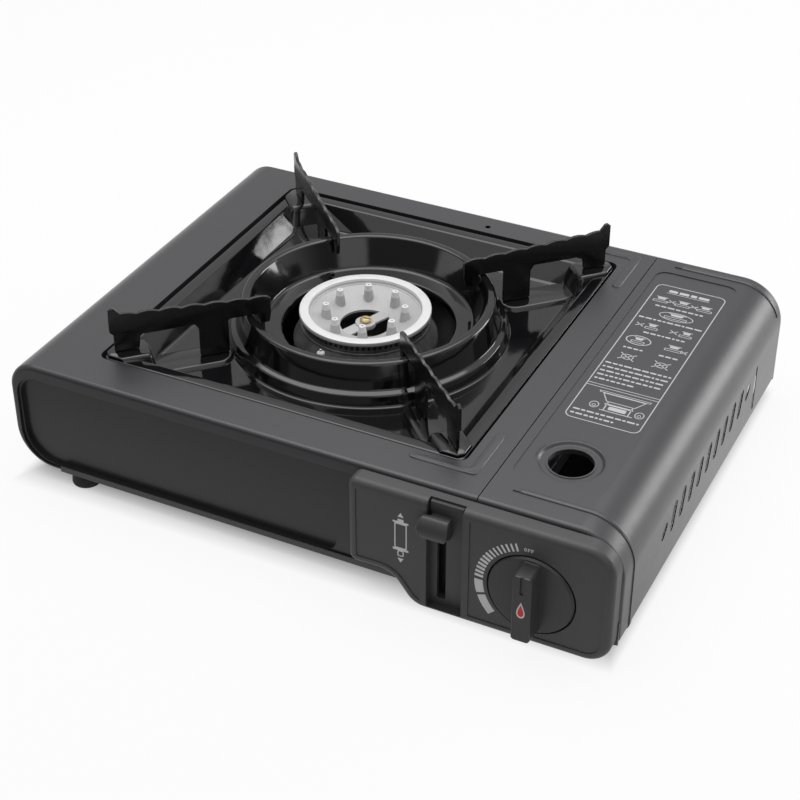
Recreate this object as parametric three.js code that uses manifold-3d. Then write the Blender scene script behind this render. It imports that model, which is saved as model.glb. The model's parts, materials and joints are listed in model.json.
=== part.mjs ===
// A tabletop butane stove: a pressed steel body with an enamelled drip pan, a round burner,
// a gas cartridge bay under a hinged lid, and a moulded control panel on the front.
// Millimetres, +Z up, +X to the right, the front faces -Y. The body's middle is x = 0, y = 0
// and the whole stove is moved back at the end, so that its box is centred on the origin.
import * as THREE from 'three';
import { mergeVertices } from 'three/addons/utils/BufferGeometryUtils.js';
import Module from 'manifold-3d';

const wasm = await Module();
wasm.setup();

// Shared sizes
const sheet = 1;
const gap = 0.3;
const overrun = 5;
const cornerSteps = 5;
const roundSteps = 32;
const smallSteps = 12;
const midSteps = 16;
const wideSteps = 24;
const cradleSteps = 48;
const footHeight = 8;

// The standard gas cartridge that the bay is made for
const cartridgeRadius = 33.3;
const cartridgeLength = 185;
const cartridgeLift = 3.7;
const bayHeadroom = 1.2;
const bayFront = 47;
const bayRear = 20;
const bayMargin = 7.9;
const cartridgeInset = 38;

// Burner head, and the pan ring that stands round it
const headRadius = 35.9;
const airGap = 11.1;
const bowlShelf = 10.5;
const ridgeInnerRun = 8.6;
const ridgeOuterRun = 9.9;
const panMoat = 11.3;
const bowlRadius = headRadius + airGap;
const ridgeInnerFoot = bowlRadius + bowlShelf;
const ridgeRadius = ridgeInnerFoot + ridgeInnerRun;
const ridgeOuterFoot = ridgeRadius + ridgeOuterRun;

// Drip pan and its square opening in the cover
const panGap = 1.6;
const panRimWidth = 7;
const panWallRun = 9;
const panHalf = ridgeOuterFoot + panMoat + panWallRun + panRimWidth + panGap;
const openingRadius = 5;
const seatDepth = 5;
const seatWidth = 7;
const panRimDrop = 0.8;
const panFloorDepth = 12;
const panFloorRadius = 12;

// Body shell: as wide and as deep as the pan and the bay need
const coverLeft = 40.8;
const coverRight = 16.9;
const panShiftY = 2.3;
const lidWidth = 2 * cartridgeRadius + bayMargin;
const shellWidth = coverLeft + 2 * panHalf + coverRight + lidWidth;
const shellDepth = bayFront + cartridgeLength + bayRear;
const shellTop = cartridgeLift + 2 * cartridgeRadius + bayHeadroom;
const halfWidth = shellWidth / 2;
const halfDepth = shellDepth / 2;
const coverUnder = shellTop - sheet;
const baseTop = footHeight + sheet;
const splitX = halfWidth - lidWidth;
const panX = -halfWidth + coverLeft + panHalf;
const panY = panShiftY;
const shellEdge = 2.5;
const leftTopRadius = 16;
const leftBottomRadius = 22;
const rightTopRadius = 24;
const rightBottomRadius = 5;
const splitGap = 0.5;
const lipTop = 7.5;
const lipSide = 4;
const lipBottom = 2;
const splitFlange = 5.5;
const coverWrap = 26;
const plateFace = halfDepth - sheet - gap;

// Heights of the pan ring
const ridgeRise = 9.1;
const ridgeTop = shellTop + ridgeRise;
const ridgeRound = 3;
const ridgeStepRise = 7;
const ridgeInnerRise = 3.5;
const bowlLip = 3;

// Pot supports and the pressed pads that carry them
const finSheet = 1.8;
const finCornerInset = 7.35;
const finReachIn = 11.6;
const finLegWidth = 15;
const finBlade = 11;
const finClimb = 4.5;
const finTipRise = 3.5;
const finTipWidth = 5;
const finHookDepth = 6;
const finHookWidth = 5.5;
const finMidInset = 2;
const finMidWidth = 16;
const finScallop = 0.8;
const scallopPitch = 12;
const padRise = 2;
const padLength = 20;
const padWidth = 15;
const padTaper = 5;
const padRadius = 3;
const finOuter = panHalf * Math.SQRT2 - finCornerInset;
const finInner = ridgeRadius - finReachIn;
const finLegInner = finOuter - finLegWidth;
const finMidInner = ridgeOuterFoot + finMidInset;
const finMidOuter = finMidInner + finMidWidth;
const finUnder = ridgeTop - 2 * gap;
const finTopInner = finUnder + finBlade;
const finTopOuter = finTopInner + finClimb;
const finTip = finTopOuter + finTipRise;
const padOuter = finOuter + sheet;
const padInner = padOuter - padLength;

// Burner
const burnerShiftX = -1.6;
const burnerShiftY = -0.8;
const burnerX = panX + burnerShiftX;
const burnerY = panY + burnerShiftY;
const headRise = 0.5;
const headTop = shellTop + headRise;
const headRim = 5;
const headThick = 2.5;
const dishDrop = 2.4;
const dishRadius = 14.5;
const dishDepth = 9.6;
const pegInset = 14.4;
const pegCircle = headRadius - pegInset;
const pegBaseRadius = 3.1;
const pegTipRadius = 1.8;
const pegRise = 2;
const pegTop = headTop + pegRise;
const pegCount = 8;
const windowInset = 0.5;
const windowRadius = dishRadius - windowInset;
const barWidth = 7;
const barTurn = 68.5;
const bossRadius = 5.6;
const portRingHeight = 4;
const portRingWall = 4.6;
const portCount = 36;
const portWidth = 1.3;
const portDepth = 3.1;
const bowlSwell = 3.6;
const bowlBodyRadius = headRadius + bowlSwell;
const bowlBodyWall = 1.5;
const burnerHeight = 38;
const bowlBodyBottom = headTop - burnerHeight;
const screwRadius = 2;
const screwHeadRadius = 3.2;
const screwHeadHeight = 2;
const screwLength = 16;
const screwSlot = 0.9;

// Cartridge bay
const cartridgeX = halfWidth - cartridgeInset;
const cartridgeZ = cartridgeLift + cartridgeRadius;
const cradleRadius = cartridgeRadius + gap;
const partitionInset = 4.3;
const partitionX = splitX - partitionInset;
const lidBottom = footHeight + 1.5 * sheet;
const hingeInset = 7.5;
const hingeLift = 5;
const hingeX = halfWidth - hingeInset;
const hingeZ = footHeight + hingeLift;
const hingePinRadius = 1.5;
const hingeLobeRadius = 5;

// Control panel, knob and lever
const panelWidth = 137;
const panelDrop = 2;
const panelBottom = 3;
const panelThick = 9.7;
const panelRight = halfWidth - sheet;
const panelLeft = panelRight - panelWidth;
const panelTop = shellTop - panelDrop;
const panelBack = halfDepth + gap;
const panelFront = panelBack + panelThick;
const panelWall = 2.2;
const panelEdge = 4;
const panelEar = 23;
const panelStepRise = 16;
const panelStepX = panelLeft + panelEar;
const panelStepZ = panelBottom + panelStepRise;
const panelStepRun = 12;
const knobInset = 40.5;
const knobLift = 29.6;
const knobX = panelRight - knobInset;
const knobZ = panelBottom + knobLift;
const knobRadius = 21.9;
const knobGap = 0.8;
const knobProud = 0.8;
const gripHeight = 11.2;
const knobFace = panelFront + knobProud;
const knobFront = knobFace + gripHeight;
const knobDiscThick = 5.5;
const gripWidth = 10.2;
const gripHalfLength = 19.6;
const gripTaper = 1.2;
const channelWidth = 18.6;
const channelPast = 1.8;
const channelDepth = 5;
const channelRight = partitionX + channelPast;
const channelLeft = channelRight - channelWidth;
const channelFloor = panelFront - channelDepth;
const slotInset = 5.5;
const slotWide = 5;
const slotRight = channelRight - slotInset;
const slotLeft = slotRight - slotWide;
const leverTravel = 26;
const carriageTravel = 6;

// Helpers: each makes a closed geometry or turns one into a solid that can be cut
const weldTolerance = 1e-4;

function solid(geometry) {
  const bare = geometry.index ? geometry.toNonIndexed() : geometry.clone();
  bare.deleteAttribute('normal');
  bare.deleteAttribute('uv');
  const welded = mergeVertices(bare, weldTolerance);
  const index = welded.index.array;
  const triangles = [];
  for (let i = 0; i < index.length; i += 3) {
    const [a, b, c] = [index[i], index[i + 1], index[i + 2]];
    if (a !== b && b !== c && c !== a) {
      triangles.push(a, b, c);
    }
  }
  if (signedVolume(welded.attributes.position, triangles) < 0) {
    triangles.reverse();
  }
  const mesh = new wasm.Mesh({
    numProp: 3,
    vertProperties: new Float32Array(welded.attributes.position.array),
    triVerts: new Uint32Array(triangles),
  });
  return new wasm.Manifold(mesh);
}

function signedVolume(position, triangles) {
  const a = new THREE.Vector3();
  const b = new THREE.Vector3();
  const c = new THREE.Vector3();
  let total = 0;
  for (let i = 0; i < triangles.length; i += 3) {
    a.fromBufferAttribute(position, triangles[i]);
    b.fromBufferAttribute(position, triangles[i + 1]);
    c.fromBufferAttribute(position, triangles[i + 2]);
    total += a.dot(b.cross(c));
  }
  return total;
}

function geometryOf(body) {
  const mesh = body.getMesh();
  const geometry = new THREE.BufferGeometry();
  geometry.setAttribute('position', new THREE.BufferAttribute(new Float32Array(mesh.vertProperties), 3));
  geometry.setIndex(new THREE.BufferAttribute(new Uint32Array(mesh.triVerts), 1));
  return geometry;
}

const join = (first, ...others) => others.reduce((sum, next) => sum.add(next), first);
const cut = (first, ...others) => others.reduce((rest, next) => rest.subtract(next), first);
const common = (first, second) => first.intersect(second);

// A rounded outline from corners given as [across, up, radius]
function outline(corners, steps = cornerSteps) {
  const points = [];
  corners.forEach(([x, y, radius], i) => {
    const [px, py] = corners[(i + corners.length - 1) % corners.length];
    const [nx, ny] = corners[(i + 1) % corners.length];
    const here = new THREE.Vector2(x, y);
    if (!radius) {
      points.push(here);
      return;
    }
    const back = new THREE.Vector2(px - x, py - y).normalize();
    const ahead = new THREE.Vector2(nx - x, ny - y).normalize();
    const half = Math.acos(THREE.MathUtils.clamp(back.dot(ahead), -1, 1)) / 2;
    const reach = radius / Math.tan(half);
    const middle = back.clone().add(ahead).normalize().multiplyScalar(radius / Math.sin(half)).add(here);
    const from = back.multiplyScalar(reach).add(here).sub(middle);
    const to = ahead.multiplyScalar(reach).add(here).sub(middle);
    const start = from.angle();
    let sweep = to.angle() - start;
    sweep -= 2 * Math.PI * Math.round(sweep / (2 * Math.PI));
    for (let k = 0; k <= steps; k += 1) {
      const angle = start + (sweep * k) / steps;
      points.push(new THREE.Vector2(Math.cos(angle), Math.sin(angle)).multiplyScalar(radius).add(middle));
    }
  });
  return new THREE.Shape(points);
}

function circle(x, y, radius, steps = roundSteps) {
  const points = [];
  for (let k = 0; k < steps; k += 1) {
    const angle = (2 * Math.PI * k) / steps;
    points.push(new THREE.Vector2(x + radius * Math.cos(angle), y + radius * Math.sin(angle)));
  }
  return new THREE.Shape(points);
}

// A straight slot with round ends between two points
function slot(x0, y0, x1, y1, width, steps = cornerSteps) {
  const along = Math.atan2(y1 - y0, x1 - x0);
  const points = [];
  [[x1, y1, along - Math.PI / 2], [x0, y0, along + Math.PI / 2]].forEach(([x, y, start]) => {
    for (let k = 0; k <= steps; k += 1) {
      const angle = start + (Math.PI * k) / steps;
      points.push(new THREE.Vector2(x + (width / 2) * Math.cos(angle), y + (width / 2) * Math.sin(angle)));
    }
  });
  return new THREE.Shape(points);
}

// An extrusion whose flat ends lie at exactly the two given heights
function extruded(shape, low, high, edge, edgeSteps) {
  const length = high - low;
  const geometry = new THREE.ExtrudeGeometry(shape, {
    depth: length - 2 * edge,
    bevelEnabled: edge > 0,
    bevelThickness: edge,
    bevelSize: edge,
    bevelOffset: -edge,
    bevelSegments: edgeSteps,
    curveSegments: cornerSteps,
  });
  const position = geometry.attributes.position;
  for (let i = 0; i < position.count; i += 1) {
    const height = position.getZ(i) + edge;
    const nearLow = Math.abs(height) < weldTolerance;
    const nearHigh = Math.abs(height - length) < weldTolerance;
    position.setZ(i, (nearLow && low) || (nearHigh && high) || low + height);
  }
  return geometry;
}

const xAxis = new THREE.Vector3(1, 0, 0);
const yAxis = new THREE.Vector3(0, 1, 0);
const zAxis = new THREE.Vector3(0, 0, 1);
const uprightBasis = new THREE.Matrix4().makeBasis(xAxis, zAxis, yAxis.clone().negate());
const sidewaysBasis = new THREE.Matrix4().makeBasis(yAxis, zAxis, xAxis);

// A prism along Z of a plan outline, along Y of a front outline, along X of a side outline
function plate(shape, low, high, edge = 0, edgeSteps = 2) {
  return solid(extruded(shape, low, high, edge, edgeSteps));
}

function standing(shape, front, back, edge = 0, edgeSteps = 2) {
  return solid(extruded(shape, -back, -front, edge, edgeSteps).applyMatrix4(uprightBasis));
}

function sideways(shape, left, right, edge = 0, edgeSteps = 2) {
  return solid(extruded(shape, left, right, edge, edgeSteps).applyMatrix4(sidewaysBasis));
}

function block(x0, x1, y0, y1, z0, z1) {
  const ring = (z) => [[x0, y0], [x1, y0], [x1, y1], [x0, y1]].map(([x, y]) => new THREE.Vector3(x, y, z));
  return solid(loft([ring(z0), ring(z1)]));
}

// Turned pieces: a profile of [radius, height] pairs, upright or lying along Y or X
function turnedGeometry(profile, steps) {
  const points = profile.map(([radius, height]) => new THREE.Vector2(radius, height));
  return new THREE.LatheGeometry(points, steps);
}

function turned(profile, x, y, steps = roundSteps) {
  return solid(turnedGeometry(profile, steps).rotateX(Math.PI / 2).translate(x, y, 0));
}

function turnedAlongY(profile, x, z, steps = roundSteps) {
  return solid(turnedGeometry(profile, steps).translate(x, 0, z));
}

function turnedAlongX(profile, y, z, steps = roundSteps) {
  return solid(turnedGeometry(profile, steps).rotateZ(-Math.PI / 2).translate(0, y, z));
}

// A closed skin through rings of equally many points, with flat ends
function loft(rings) {
  const count = rings[0].length;
  const points = rings.flat();
  const triangles = [];
  for (let r = 0; r + 1 < rings.length; r += 1) {
    for (let k = 0; k < count; k += 1) {
      const a = r * count + k;
      const b = r * count + ((k + 1) % count);
      triangles.push(a, b, b + count, a, b + count, a + count);
    }
  }
  const last = (rings.length - 1) * count;
  for (let k = 1; k + 1 < count; k += 1) {
    triangles.push(0, k + 1, k, last, last + k, last + k + 1);
  }
  const geometry = new THREE.BufferGeometry().setFromPoints(points);
  geometry.setIndex(triangles);
  return geometry;
}

function rectangleRing(x, y, halfX, halfY, radius, height, steps = cornerSteps) {
  const corners = [
    [x + halfX, y + halfY, radius],
    [x - halfX, y + halfY, radius],
    [x - halfX, y - halfY, radius],
    [x + halfX, y - halfY, radius],
  ];
  const points = outline(corners, steps).getPoints(1).slice(0, 4 * (steps + 1));
  return points.map((p) => new THREE.Vector3(p.x, p.y, height));
}

// Finishes
function finish(color, roughness, metalness) {
  return new THREE.MeshStandardMaterial({ color, roughness, metalness });
}

const bodyPaint = finish(0x4c4b52, 0.5, 0.25);
const panelPaint = finish(0x333336, 0.4, 0.2);
const enamel = finish(0x17171a, 0.12, 0.1);
const finEnamel = finish(0x141416, 0.35, 0.1);
const moulded = finish(0x45454a, 0.5, 0);
const darkMoulded = finish(0x242427, 0.45, 0);
const castAluminium = finish(0xc9c8cc, 0.45, 0.8);
const blackIron = finish(0x1d1d1f, 0.55, 0.5);
const darkSteel = finish(0x3f4043, 0.4, 0.7);
const plainSteel = finish(0x9a9b9e, 0.4, 0.9);
const brass = finish(0xb8964f, 0.35, 0.9);
const zincCasting = finish(0x8e9094, 0.5, 0.7);
const rubber = finish(0x18181a, 0.85, 0);
const ceramic = finish(0xf1efe9, 0.4, 0);

const stove = new THREE.Group();

function addPiece(name, body, material) {
  const mesh = new THREE.Mesh(body.isBufferGeometry ? body : geometryOf(body), material);
  mesh.name = name;
  stove.add(mesh);
  return mesh;
}

// The shell's front outline, drawn in by an inset on every side
function shellCorners(inset) {
  return [
    [-halfWidth + inset, footHeight + inset, leftBottomRadius - inset],
    [halfWidth - inset, footHeight + inset, rightBottomRadius - inset],
    [halfWidth - inset, shellTop - inset, rightTopRadius - inset],
    [-halfWidth + inset, shellTop - inset, leftTopRadius - inset],
  ];
}

function shellWall() {
  const outer = standing(outline(shellCorners(0)), -halfDepth, halfDepth, shellEdge, 3);
  const inner = standing(
    outline(shellCorners(sheet)),
    -halfDepth + sheet,
    halfDepth - sheet,
    shellEdge - sheet,
  );
  return cut(outer, inner);
}

// The window that the turned-in lips leave at the front and the back
function lipOpening(left, right) {
  const corners = [
    [left, footHeight + lipBottom, left < 0 ? leftBottomRadius - lipSide : 0],
    [right, footHeight + lipBottom, 0],
    [right, shellTop - lipTop, right > splitX + overrun ? rightTopRadius - lipTop : 0],
    [left, shellTop - lipTop, left < 0 ? leftTopRadius - lipSide : 0],
  ];
  return standing(outline(corners), -halfDepth - overrun, halfDepth + overrun);
}

// A raised bead pressed into the top sheet along a bent line
const beadWidth = 4.6;
const beadRise = 0.8;
function topBead(points) {
  const legs = points.slice(1).map(([x, y], i) => {
    const [px, py] = points[i];
    return plate(slot(px, py, x, y, beadWidth), coverUnder, shellTop + beadRise, beadRise, 2);
  });
  return join(...legs);
}

const beadInset = 10;
const beadRearInset = 9;
const beadFrontInset = 18;
const rearBeadLength = 17.5;
const frontBeadLength = 31.5;
const beadReturn = 33;
const beadX = splitX - beadInset;
const beadRear = halfDepth - beadRearInset;
const beadFront = halfDepth - beadFrontInset;
const ventInset = 12.4;
const ventAside = 21.2;
const ventRadius = 1.7;

function bodyCover() {
  const region = block(
    -halfWidth - overrun, splitX - splitGap / 2, -shellDepth, shellDepth, 0, shellTop + overrun,
  );
  const belowTop = block(
    -halfWidth + coverWrap, splitX + overrun, -shellDepth, shellDepth, 0, shellTop / 2,
  );
  let cover = common(shellWall(), region);
  cover = cut(cover, belowTop, lipOpening(-halfWidth + lipSide, splitX + overrun));
  const turnDown = block(
    splitX - splitGap / 2 - sheet, splitX - splitGap / 2,
    -halfDepth + sheet + gap + 2 * sheet, halfDepth - sheet - gap - 2 * sheet,
    shellTop - splitFlange, coverUnder + sheet / 2,
  );
  const seatTop = shellTop - seatDepth;
  const frameOuter = rectangleRing(panX, panY, panHalf + sheet, panHalf + sheet, openingRadius + sheet, 0);
  const frame = plate(new THREE.Shape(frameOuter), seatTop - sheet, coverUnder + sheet / 2);
  const openingRing = rectangleRing(panX, panY, panHalf, panHalf, openingRadius, 0);
  const well = plate(new THREE.Shape(openingRing), seatTop, shellTop + overrun);
  const seatHalf = panHalf - seatWidth;
  const throughRing = rectangleRing(panX, panY, seatHalf, seatHalf, openingRadius, 0);
  const through = plate(new THREE.Shape(throughRing), seatTop - overrun, seatTop + overrun);
  cover = join(
    cover, turnDown, frame,
    topBead([[beadX - rearBeadLength, beadRear], [beadX, beadRear], [beadX, beadRear - beadReturn]]),
    topBead([[beadX, -beadFront + beadReturn], [beadX, -beadFront], [beadX - frontBeadLength, -beadFront]]),
  );
  const vent = plate(
    circle(panX + ventAside, halfDepth - ventInset, ventRadius, smallSteps), coverUnder - overrun,
    shellTop + overrun,
  );
  return cut(cover, well, through, vent);
}

addPiece('body_cover', bodyCover(), bodyPaint);

// The lid over the cartridge bay, hinged at its lower right edge
const lidLeft = splitX + splitGap / 2;
const lidLip = 4.5;
const bandInset = 14.5;
const bandOffset = 12.5;
const bandY = halfDepth - bandInset;
const bandStart = splitX + bandOffset;
const bandWidth = 2.4;
const bandRise = 0.5;
const rearBandInset = 7.5;
const rearBandDrop = 16.5;
const rearBandY = halfDepth - rearBandInset;
const rearBandFoot = shellTop - rearBandDrop;
const fieldInsetLeft = 5.5;
const fieldInsetRight = 22.5;
const fieldInsetFront = 25.6;
const fieldInsetRear = 15.3;
const fieldLeft = splitX + fieldInsetLeft;
const fieldRight = halfWidth - fieldInsetRight;
const fieldFront = halfDepth - fieldInsetFront;
const fieldRear = halfDepth - fieldInsetRear;
const fieldRadius = 6;
const fieldDepth = 0.45;
const windowAside = 8.15;
const windowX = cartridgeX - windowAside;
const windowY = -halfDepth + bayFront + sheet / 2;
const windowHole = 11.4;
const windowDish = 16.5;
const windowCollar = 2.5;
const slotCount = 9;
const slotPitch = 13.4;
const slotShift = 0.5;
const slotWidth = 3.7;
const slotDrop = 28;
const slotHeight = 13.5;
const slotLean = 3;
const endSlotHeight = 2.8;
const longSlotInset = 46;
const longSlotFall = 10.5;
const longSlotWidth = 1.6;
const slotHead = shellTop - slotDrop;
const slotFoot = slotHead - slotHeight;
const slotFirst = ((slotCount - 1) / 2) * slotPitch - slotShift;

function lidBand(front, back, left, foot) {
  const raised = cut(
    standing(outline(shellCorners(-bandRise)), front, back),
    standing(outline(shellCorners(sheet / 2)), front - overrun, back + overrun),
  );
  return common(
    raised, block(left, halfWidth + overrun, front - overrun, back + overrun, foot, shellTop + overrun),
  );
}

function lidSlots() {
  const cuts = [];
  const cutSlot = (y, foot, head, width) => {
    cuts.push(sideways(
      slot(y - slotLean / 2, foot, y + slotLean / 2, head, width, 2), halfWidth - overrun,
      halfWidth + overrun,
    ));
  };
  for (let k = 0; k < slotCount; k += 1) {
    cutSlot(slotFirst - k * slotPitch, slotFoot, slotHead, slotWidth);
  }
  const endFoot = slotFoot + slotWidth;
  cutSlot(slotFirst + slotPitch, endFoot, endFoot + endSlotHeight, slotWidth);
  cutSlot(slotFirst - slotCount * slotPitch, endFoot, endFoot + endSlotHeight, slotWidth);
  cutSlot(halfDepth - longSlotInset, slotFoot - longSlotFall, slotHead, longSlotWidth);
  return cuts;
}

function cartridgeLid() {
  const region = block(lidLeft, halfWidth + overrun, -shellDepth, shellDepth, lidBottom, shellTop + overrun);
  let lid = common(shellWall(), region);
  const corners = [
    [lidLeft - overrun, -overrun, 0],
    [halfWidth - lidLip, -overrun, 0],
    [halfWidth - lidLip, shellTop - lipTop, rightTopRadius - lipTop],
    [lidLeft - overrun, shellTop - lipTop, 0],
  ];
  lid = cut(lid, standing(outline(corners), -halfDepth - overrun, halfDepth + overrun));
  const turnDown = block(
    lidLeft, lidLeft + sheet, -halfDepth + 3 * sheet + gap, halfDepth - 3 * sheet - gap,
    shellTop - splitFlange, coverUnder + sheet / 2,
  );
  const ears = [-1, 1].map((side) => {
    const ear = outline([
      [hingeX - hingeLobeRadius, hingeZ - hingeLobeRadius, 0.9 * hingeLobeRadius],
      [halfWidth - sheet / 2, hingeZ - hingeLobeRadius + lidBottom - footHeight, 0],
      [halfWidth - sheet / 2, hingeZ + 2 * hingeLobeRadius, 0],
      [halfWidth - lidLip, hingeZ + 2 * hingeLobeRadius, 0],
      [hingeX - hingeLobeRadius, hingeZ + hingeLobeRadius, 0.9 * hingeLobeRadius],
    ]);
    const outside = side * halfDepth;
    const inside = side * (halfDepth - sheet);
    return standing(ear, Math.min(outside, inside), Math.max(outside, inside));
  });
  lid = join(
    lid, turnDown, ...ears,
    lidBand(-bandY - bandWidth / 2, -bandY + bandWidth / 2, bandStart, lidBottom),
    lidBand(rearBandY - bandWidth / 2, rearBandY + bandWidth / 2, bandStart, rearBandFoot),
    plate(
      circle(windowX, windowY, windowHole + sheet, wideSteps), shellTop - sheet - windowCollar,
      shellTop - sheet / 2,
    ),
  );
  const field = outline([
    [fieldLeft, -fieldFront, fieldRadius],
    [fieldRight, -fieldFront, fieldRadius],
    [fieldRight, fieldRear, fieldRadius],
    [fieldLeft, fieldRear, fieldRadius],
  ], 3);
  const pinHole = hingePinRadius + gap;
  return cut(
    lid,
    plate(field, shellTop - fieldDepth, shellTop + overrun),
    plate(
      circle(windowX, windowY, windowDish, wideSteps), shellTop - fieldDepth - gap / 2, shellTop + overrun,
    ),
    plate(circle(windowX, windowY, windowHole, wideSteps), 0, shellTop + overrun),
    standing(circle(hingeX, hingeZ, pinHole, smallSteps), -halfDepth - overrun, halfDepth + overrun),
    ...lidSlots(),
  );
}

addPiece('cartridge_lid', cartridgeLid(), bodyPaint);

// Front and rear plates stand just behind the lips
const plateInset = 2.5;
const plateRight = halfWidth - plateInset;
const skirtLeft = panelStepX + sheet;
const skirtRight = panelRight - panelEar + sheet;
const skirtBottom = panelBottom + 0.2 * sheet;
const skirtRadius = 9;
const pressInsetLeft = 5.5;
const pressInsetRight = 12.3;
const pressInsetLow = 3;
const pressInsetHigh = 8.7;
const pressLeft = halfWidth - pressInsetLeft;
const pressRight = panelLeft - pressInsetRight;
const pressLow = footHeight + pressInsetLow;
const pressHigh = shellTop - pressInsetHigh;
const pressDepth = 2.5;
const hubHoleRadius = 8;
const neckHeight = 10;
const neckDrop = 8.5;
const neckHigh = panelTop - neckDrop;
const neckLow = neckHigh - neckHeight;

function plateCorners(skirt) {
  const inset = sheet + 4 * gap;
  const bottom = footHeight + inset;
  const low = [
    [-halfWidth + inset, bottom, leftBottomRadius - inset],
    ...(skirt ? [
      [skirtLeft, bottom, skirtRadius / 3],
      [skirtLeft + skirtRadius / 2, skirtBottom, skirtRadius / 3],
      [skirtRight, skirtBottom, skirtRadius / 3],
      [skirtRight + skirtRadius / 2, bottom, skirtRadius / 3],
    ] : []),
    [plateRight, bottom, hingeLobeRadius - sheet],
  ];
  return [
    ...low,
    [plateRight, shellTop - inset, rightTopRadius - inset],
    [-halfWidth + inset, shellTop - inset, leftTopRadius - inset],
  ];
}

const pinHoleShape = () => circle(hingeX, hingeZ, hingePinRadius + gap, smallSteps);

function frontPanel() {
  const press = (grow) => outline([
    [-pressLeft - grow, pressLow - grow, leftBottomRadius - lipSide + grow],
    [pressRight + grow, pressLow - grow, lipTop + grow],
    [pressRight + grow, pressHigh + grow, lipTop + sheet + grow],
    [-pressLeft - grow, pressHigh + grow, leftTopRadius - lipSide - sheet + grow],
  ]);
  const face = standing(outline(plateCorners(true)), -plateFace, -plateFace + sheet);
  const tray = standing(press(sheet), -plateFace, -plateFace + pressDepth + sheet);
  const hollow = standing(press(0), -plateFace - overrun, -plateFace + pressDepth);
  const through = (shape) => standing(shape, -halfDepth - overrun, -plateFace + overrun + pressDepth);
  return cut(
    join(face, tray), hollow,
    through(circle(knobX, knobZ, hubHoleRadius, wideSteps)),
    block(
      slotLeft, slotRight, -halfDepth - overrun, -plateFace + overrun,
      neckLow - leverTravel - 2 * gap, neckHigh + 2 * gap,
    ),
    through(pinHoleShape()),
  );
}

addPiece('front_panel', frontPanel(), panelPaint);

const louvreCount = 8;
const louvrePitch = 17;
const louvreWidth = 4;
const louvreDrop = 19.5;
const louvreHeight = 24;
const louvreHead = shellTop - louvreDrop;
const louvreFoot = louvreHead - louvreHeight;

function rearPanel() {
  const face = standing(outline(plateCorners(false)), plateFace - sheet, plateFace);
  const cuts = [];
  for (let k = 0; k < louvreCount; k += 1) {
    const x = panX + (k - (louvreCount - 1) / 2) * louvrePitch;
    cuts.push(
      standing(slot(x, louvreFoot, x, louvreHead, louvreWidth, 2), plateFace - overrun, plateFace + overrun),
    );
  }
  cuts.push(standing(pinHoleShape(), plateFace - overrun, plateFace + overrun));
  return cut(face, ...cuts);
}

addPiece('rear_panel', rearPanel(), panelPaint);

// Base plate with the sunk cradle of the cartridge bay, and the four push-in feet
const baseHingeClear = 8.5;
const baseRight = hingeX - baseHingeClear;
const baseRimHeight = 3.5;
const footInsetX = 36.5;
const footInsetY = 8.5;
const footX = halfWidth - footInsetX;
const footY = halfDepth - footInsetY;
const footSkirtInset = 3;
const footRadius = 8;
const footTopRadius = 7;
const footNeck = 2.6;
const footHead = 4;
const footHeadHeight = 1.8;
const cradleSpare = 5;
const cradleFront = halfDepth - bayFront + cradleSpare;
const cradleRear = footY - footRadius - sheet - gap / 2 - sheet / 2;

function basePlate() {
  const left = -halfWidth + coverWrap + gap;
  const inner = plateFace - sheet - gap;
  const flat = block(left, baseRight, -inner, inner, footHeight, baseTop);
  const lipOf = (side, right) => {
    const outside = side * halfDepth;
    const inside = side * (inner - sheet);
    const face = side * (halfDepth - sheet);
    const shelf = block(
      left, right, Math.min(outside, inside), Math.max(outside, inside), footHeight, baseTop,
    );
    const rim = block(
      left, right, Math.min(outside, face), Math.max(outside, face), footHeight, footHeight + baseRimHeight,
    );
    return join(shelf, rim);
  };
  const trough = (radius, front, back) => standing(
    circle(cartridgeX, cartridgeZ, radius, cradleSteps), front, back,
  );
  const belowBase = block(0, shellWidth, -shellDepth, shellDepth, 0, baseTop);
  const cradle = common(trough(cradleRadius + sheet, -cradleFront - sheet, cradleRear + sheet), belowBase);
  const hollow = trough(cradleRadius, -cradleFront, cradleRear);
  const feetHoles = footPlaces().map(([x, y]) => plate(
    circle(x, y, footNeck + gap, smallSteps), 0, baseTop + overrun,
  ));
  const rightWall = block(baseRight - sheet, baseRight, -inner, inner, footHeight, baseTop + baseRimHeight);
  return cut(
    join(flat, rightWall, lipOf(-1, skirtLeft - sheet), lipOf(1, baseRight), cradle), hollow, ...feetHoles,
  );
}

function footPlaces() {
  return [[-footX, -footY], [footX, footSkirtInset - footY], [-footX, footY], [footX, footY]];
}

addPiece('base_plate', basePlate(), bodyPaint);

function foot() {
  return [
    [0, 0], [footRadius, 0], [footTopRadius, footHeight - gap],
    [footNeck, footHeight - gap], [footNeck, baseTop + gap], [footHead, baseTop + gap],
    [footNeck, baseTop + gap + footHeadHeight], [0, baseTop + gap + footHeadHeight],
  ];
}

['front_left', 'front_right', 'rear_left', 'rear_right'].forEach((place, i) => {
  const [x, y] = footPlaces()[i];
  addPiece(`foot_${place}`, turned(foot(), x, y, smallSteps), rubber);
});

// Rivets that the lid turns on
const pinHeadHeight = 0.8;
const pinHead = 3;
const pinTail = 2.4;

function hingePin(side) {
  const outside = side * (halfDepth + gap + pinHeadHeight);
  const underHead = side * (halfDepth + gap);
  const behindPlate = side * (plateFace - sheet - gap);
  const end = side * (plateFace - sheet - gap - pinHeadHeight);
  return turnedAlongY([
    [0, outside], [pinHead, outside], [pinHead, underHead], [hingePinRadius, underHead],
    [hingePinRadius, behindPlate], [pinTail, behindPlate], [pinTail, end], [0, end],
  ], hingeX, hingeZ, smallSteps);
}

addPiece('lid_hinge_pin_front', hingePin(-1), plainSteel);
addPiece('lid_hinge_pin_rear', hingePin(1), plainSteel);

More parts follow.
